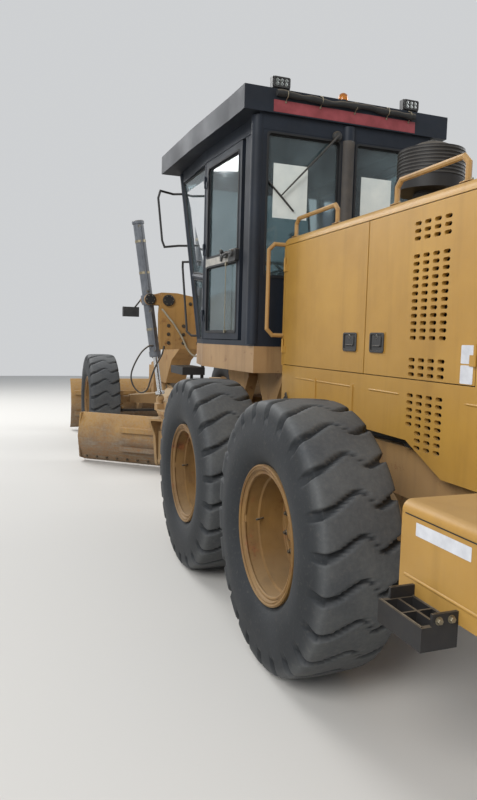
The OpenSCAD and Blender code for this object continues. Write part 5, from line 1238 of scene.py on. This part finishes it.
def neck_clamp(x):
    """A clamp block over the hoses, square to the neck's top."""
    z = float(np.interp(x, NECK_TOP[:, 0], NECK_TOP[:, 1]))
    i = int(np.searchsorted(NECK_TOP[:, 0], x)) - 1
    d = unit(NECK_TOP[i + 1] - NECK_TOP[i])
    u = np.array([d[0], 0, d[1]])
    up = np.array([-d[1], 0, d[0]])
    base = np.array([x, 0, z]) + up * 0.0004
    body = tile(0.190, 0.040, 0.012, base + up * 0.020 - u * 0.018, Y, up, 0.036)
    bolts = [hex_bolt(base + up * 0.0405 + np.array([0, y, 0]), up, 0.013, 0.007) for y in (-0.045, 0.045)]
    return body, together(bolts)


clamps = [neck_clamp(x) for x in (3.560, 3.830, 4.250, 5.000, 5.600, 6.200, 6.760)]
piece("neck_clamps", together([c[0] for c in clamps]), black_plastic, "front_frame", "cab_plastic", bevel=0.002)
piece("neck_clamp_bolts", together([c[1] for c in clamps]), bolt_zinc, "front_frame", "pin_steel")

spots = [(y, z) for z in (1.600, 1.700, 1.800) for y in (0.300, 0.480, 0.660)]
spots += [(0.25, 1.93), (0.25, 2.04), (0.40, 2.06)]
saddle_bolts = [hex_bolt([4.4695, y, z], -X, 0.030, 0.016) for y, z in spots]
pair("saddle_bolts", together(saddle_bolts), bolt_dark, "front_frame", "pin_steel")
print("gooseneck dressed")

# %% [markdown]
# **Lamps and blade.** The lamps by the yokes and on the nose get a bezel and a lens. The cutting
# edge of the grading blade is held by a row of bolts, nuts behind, and each of its ends by three.

# %% Front lamps
NOSE = [7.5503, 0.100, 1.3782]
glass = [tile(0.170, 0.096, 0.012, [4.8483, 1.040, 1.9575], Y, Z, 0.005),
         turned([[0.0, 0.080], [0.004, 0.078], [0.009, 0.050], [0.011, 0.0]], NOSE, X, 36)]
rim = [framed(round_outline(0.188, 0.113, 0.014), round_outline(0.168, 0.094, 0.010), [4.8481, 1.040, 1.9575],
              Y, Z, 0.012),
       hoop([[-0.004, 0.0852], [0.010, 0.0852], [0.012, 0.081], [0.006, 0.0795], [0.0005, 0.0795]], NOSE, X)]
pair("front_lens", together(glass), lamp_pane, "front_frame", "cab_glass")
pair("front_lamp_bezel", together(rim), black_plastic, "front_frame", "cab_plastic")

# %% Blade bolts
AHEAD = np.array([0.76604, -0.64279, 0.0])
ALONG = np.array([0.64279, 0.76604, 0.0])


def on_blade(u, v, z):
    """A place u ahead and v along in the turned blade's own directions."""
    return np.array([4.450, 0, z]) + u * AHEAD + v * ALONG


# The edge slopes 100 mm ahead over 150 mm of height
face_out = np.cross(ALONG, unit(AHEAD * 0.100 - Z * 0.150))
face_out *= np.sign(face_out @ AHEAD)
spread = np.arange(-1.890, 1.891, 0.1512)
heads = [hex_bolt(on_blade(0.0405, v, 0.091) + face_out * 0.002, face_out, 0.026, 0.009, False) for v in spread]
nuts = [hex_bolt(on_blade(0.0170, v, 0.080) - face_out * 0.001, -face_out, 0.026, 0.020) for v in spread]
ends = [hex_bolt(on_blade(-0.015, s * 1.9826, z), ALONG * s, 0.030, 0.012)
        for s in (-1, 1) for z in (0.16, 0.30, 0.46)]
piece("edge_bolts", together(heads + nuts + ends), bolt_dark, "moldboard", "pin_steel")
print("lamps and blade bolts made")

# %% [markdown]
# **Operator's seat.** Its pieces take the place of the plain CAD seat: a bellows pedestal, a pan and
# a back shell, two cushions blown up as cloth, and arm pads on their posts. The levers get knobs.

# %% Seat


def applied(obj, *modifiers):
    """Applies an object's modifiers in turn and hands back its points."""
    with bpy.context.temp_override(object=obj, active_object=obj, selected_objects=[obj]):
        for name in modifiers:
            bpy.ops.object.modifier_apply(modifier=name)
    points = np.empty(len(obj.data.vertices) * 3)
    obj.data.vertices.foreach_get("co", points)
    return points.reshape(-1, 3)


def pad(name, middle, size, tilt, grow):
    """A cushion: a rounded block in fine cloth, blown up softly; no point moves more than grow metres."""
    half = np.array(size) / 2
    points, faces = block(-half, half)
    points = points @ about_y(math.radians(tilt)).T + middle
    obj = piece(name, (points, faces), seat_cloth, "rear_frame", "seat_cloth", bevel=0.022)
    bpy.context.view_layer.objects.active = obj
    obj.modifiers["bevel"].segments = 4
    mesh = obj.modifiers.new("fine", "REMESH")
    mesh.mode = "VOXEL"
    mesh.voxel_size = 0.0075
    before = applied(obj, "bevel", "fine")
    cloth = obj.modifiers.new("cloth", "CLOTH")
    cloth.settings.use_pressure = True
    cloth.settings.uniform_pressure_force = 4.0
    cloth.settings.effector_weights.gravity = 0.0
    for f in range(1, 17):
        bpy.context.scene.frame_set(f)
    move = applied(obj, "cloth") - before
    far = np.linalg.norm(move, axis=1)
    move *= np.minimum(1.0, grow / np.maximum(far, 1e-6))[:, None]
    obj.data.vertices.foreach_set("co", (before + move).ravel())
    obj.data.shade_smooth()
    obj.data.update()
    bpy.context.scene.frame_set(1)
    print(name, "moved up to", round(float(far.max()), 4))
    return obj


BACK_TILT = -12.0


def leaning(x, y, z):
    """A place on the back's own grid: x behind its face, z up it, leaning back by BACK_TILT degrees."""
    a = math.radians(BACK_TILT)
    return np.array([1.985 + x * math.cos(a) + z * math.sin(a), y, 1.980 - x * math.sin(a) + z * math.cos(a)])


folds = [q for k in range(7) for q in ([0.030 + 0.026 * k, 0.108], [0.043 + 0.026 * k, 0.094])]
bellow = [[0.0, 0.100], [0.016, 0.104], *folds, [0.222, 0.108], [0.236, 0.104], [0.240, 0.100]]
pedestal = turned(bellow, [2.150, 0, 1.6205], Z, 40)
pan = tile(0.430, 0.470, 0.030, [2.165, 0, 1.8755], X, Y, -0.016)
shell = tile(0.440, 0.500, 0.050, leaning(-0.052, 0, 0.290), -Y, leaning(0, 0, 1) - leaning(0, 0, 0), -0.014)
posts = [tube(smooth_path([[2.060, s * 0.262, 1.905], [2.030, s * 0.276, 2.000], [2.030, s * 0.286, 2.080],
                           [2.040, s * 0.290, 2.122]], 6), 0.011, 10) for s in (-1, 1)]
pads = [tile(0.300, 0.056, 0.024, [2.170, s * 0.290, 2.124], X, Y, 0.050) for s in (-1, 1)]
piece("seat_bellows", pedestal, trim_rubber, "rear_frame", "seat_cloth")
base = piece("seat_frame", together([pan, shell, *posts]), black_enamel, "rear_frame", "seat_cloth", bevel=0.003)
piece("seat_arm_pads", together(pads), black_plastic, "rear_frame", "seat_cloth", bevel=0.012)
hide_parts("seat")
seat_pad = pad("seat_cushion", [2.170, 0, 1.936], [0.400, 0.450, 0.092], 0.0, 0.016)
back_pad = pad("seat_back_cushion", leaning(0.006, 0, 0.290), [0.075, 0.420, 0.490], BACK_TILT, 0.016)

knob = [[-0.014, 0.006], [-0.006, 0.011], [0.006, 0.0145], [0.016, 0.012], [0.021, 0.0]]
tips = [[2.800, s * 0.230 + k * 0.050, 2.384] for s in (-1, 1) for k in (-1.5, -0.5, 0.5, 1.5)]
piece("lever_knobs", together([turned(knob, q, Z, 20) for q in tips]), black_plastic, "rear_frame", "cab_plastic")
print("seat made")

# %% [markdown]
# **Steps and drawbar.** The box step's rims are worn bright and its cheeks are bolted. The circle drive
# and the drawbar's cross member show their bolts.

# %% Step wear and frame bolts
rims = [tube([[-1.322, y, 0.7905], [-1.093, y, 0.7905]], 0.0032, 8) for y in (1.284, 1.156)]
tops = [tube([[x, 1.158, 0.8305], [x, 1.243, 0.8305]], 0.0028, 8) for x in (-1.324, -1.091)]
pair("step_wear", together(rims + tops), bolt_dark, "rear_frame", "pin_steel")
cheek = [hex_bolt([x, y, 0.808], s * X, 0.019, 0.010)
         for x, s in ((-1.3305, -1), (-1.0845, 1)) for y in (1.178, 1.226)]
pair("step_bolts", together(cheek), bolt_zinc, "rear_frame", "pin_steel")

# The drawbar's table lies at this height
table = 0.765
drive = [hex_bolt([4.690 + 0.112 * np.cos(a), 0.112 * np.sin(a), table + 0.2502], Z, 0.016, 0.010)
         for a in np.radians(np.arange(0, 360, 45))]
bars = [hex_bolt([x, y, table + 0.1102], Z, 0.026, 0.014)
        for x in (3.925, 3.975) for y in (0.30, -0.30, 0.45, -0.45)]
piece("drawbar_bolts", together(drive + bars), bolt_dark, "drawbar", "pin_steel")
print("steps and frames dressed")

# %% [markdown]
# The room is a pale flat floor with broad soft lamps. A white background comes from the colour that
# the camera sees, not from more light on the machine.

# %% Floor and light
a = circle(96)
mesh = bpy.data.meshes.new("floor")
mesh.from_pydata(np.stack([20 * np.cos(a), 20 * np.sin(a), np.full(96, -0.0005)], -1).tolist(), [], [list(range(96))])
floor_paint, t, _ = new_material("pale_floor")
add(t, "OutputMaterial", [add(t, "BsdfPrincipled", {"Base Color": srgb("#cfccc6"), "Roughness": 0.85})])
mesh.materials.append(floor_paint)
new_object("floor", mesh)


def lamp(name, place, aim, size, power):
    """A flat area lamp at a place, turned to an aim."""
    data = bpy.data.lights.new(name, "AREA")
    data.shape = "RECTANGLE"
    data.size, data.size_y = size
    data.energy = power
    z = unit(np.subtract(place, aim))
    x = unit(np.cross(Z, z))
    stand(new_object(name, data), x, np.cross(z, x), z, place)


def sky():
    """Soft grey light from all round; the camera and the reflections see a paler background."""
    world = bpy.data.worlds.new("studio")
    bpy.context.scene.world = world
    world.use_nodes = True
    t = world.node_tree
    t.nodes.clear()
    eye, gloss, through = (add(t, "LightPath", take=f"Is {ray} Ray") for ray in ("Camera", "Glossy", "Transmission"))
    bounced = add(t, "Math", [gloss, through], operation="MAXIMUM")
    seen = add(t, "Math", [eye, bounced], operation="MAXIMUM")
    light = add(t, "Background", {"Color": srgb("#dfe6f0"), "Strength": 0.6})
    show = add(t, "Background", {"Color": srgb("#e4e6e8"), "Strength": 0.8})
    add(t, "OutputWorld", [add(t, "MixShader", [seen, light, show])])


sky()
lamp("key_lamp", (-9.0, 9.0, 8.0), (-1.0, 0.0, 1.0), (6.0, 6.0), 1050)
lamp("front_lamp", (9.0, 5.0, 9.0), (1.0, 0.0, 1.0), (7.0, 7.0), 1100)
lamp("right_lamp", (0.0, -11.0, 8.0), (0.0, 0.0, 1.0), (8.0, 5.0), 750)
bpy.context.scene.view_settings.view_transform = "Standard"
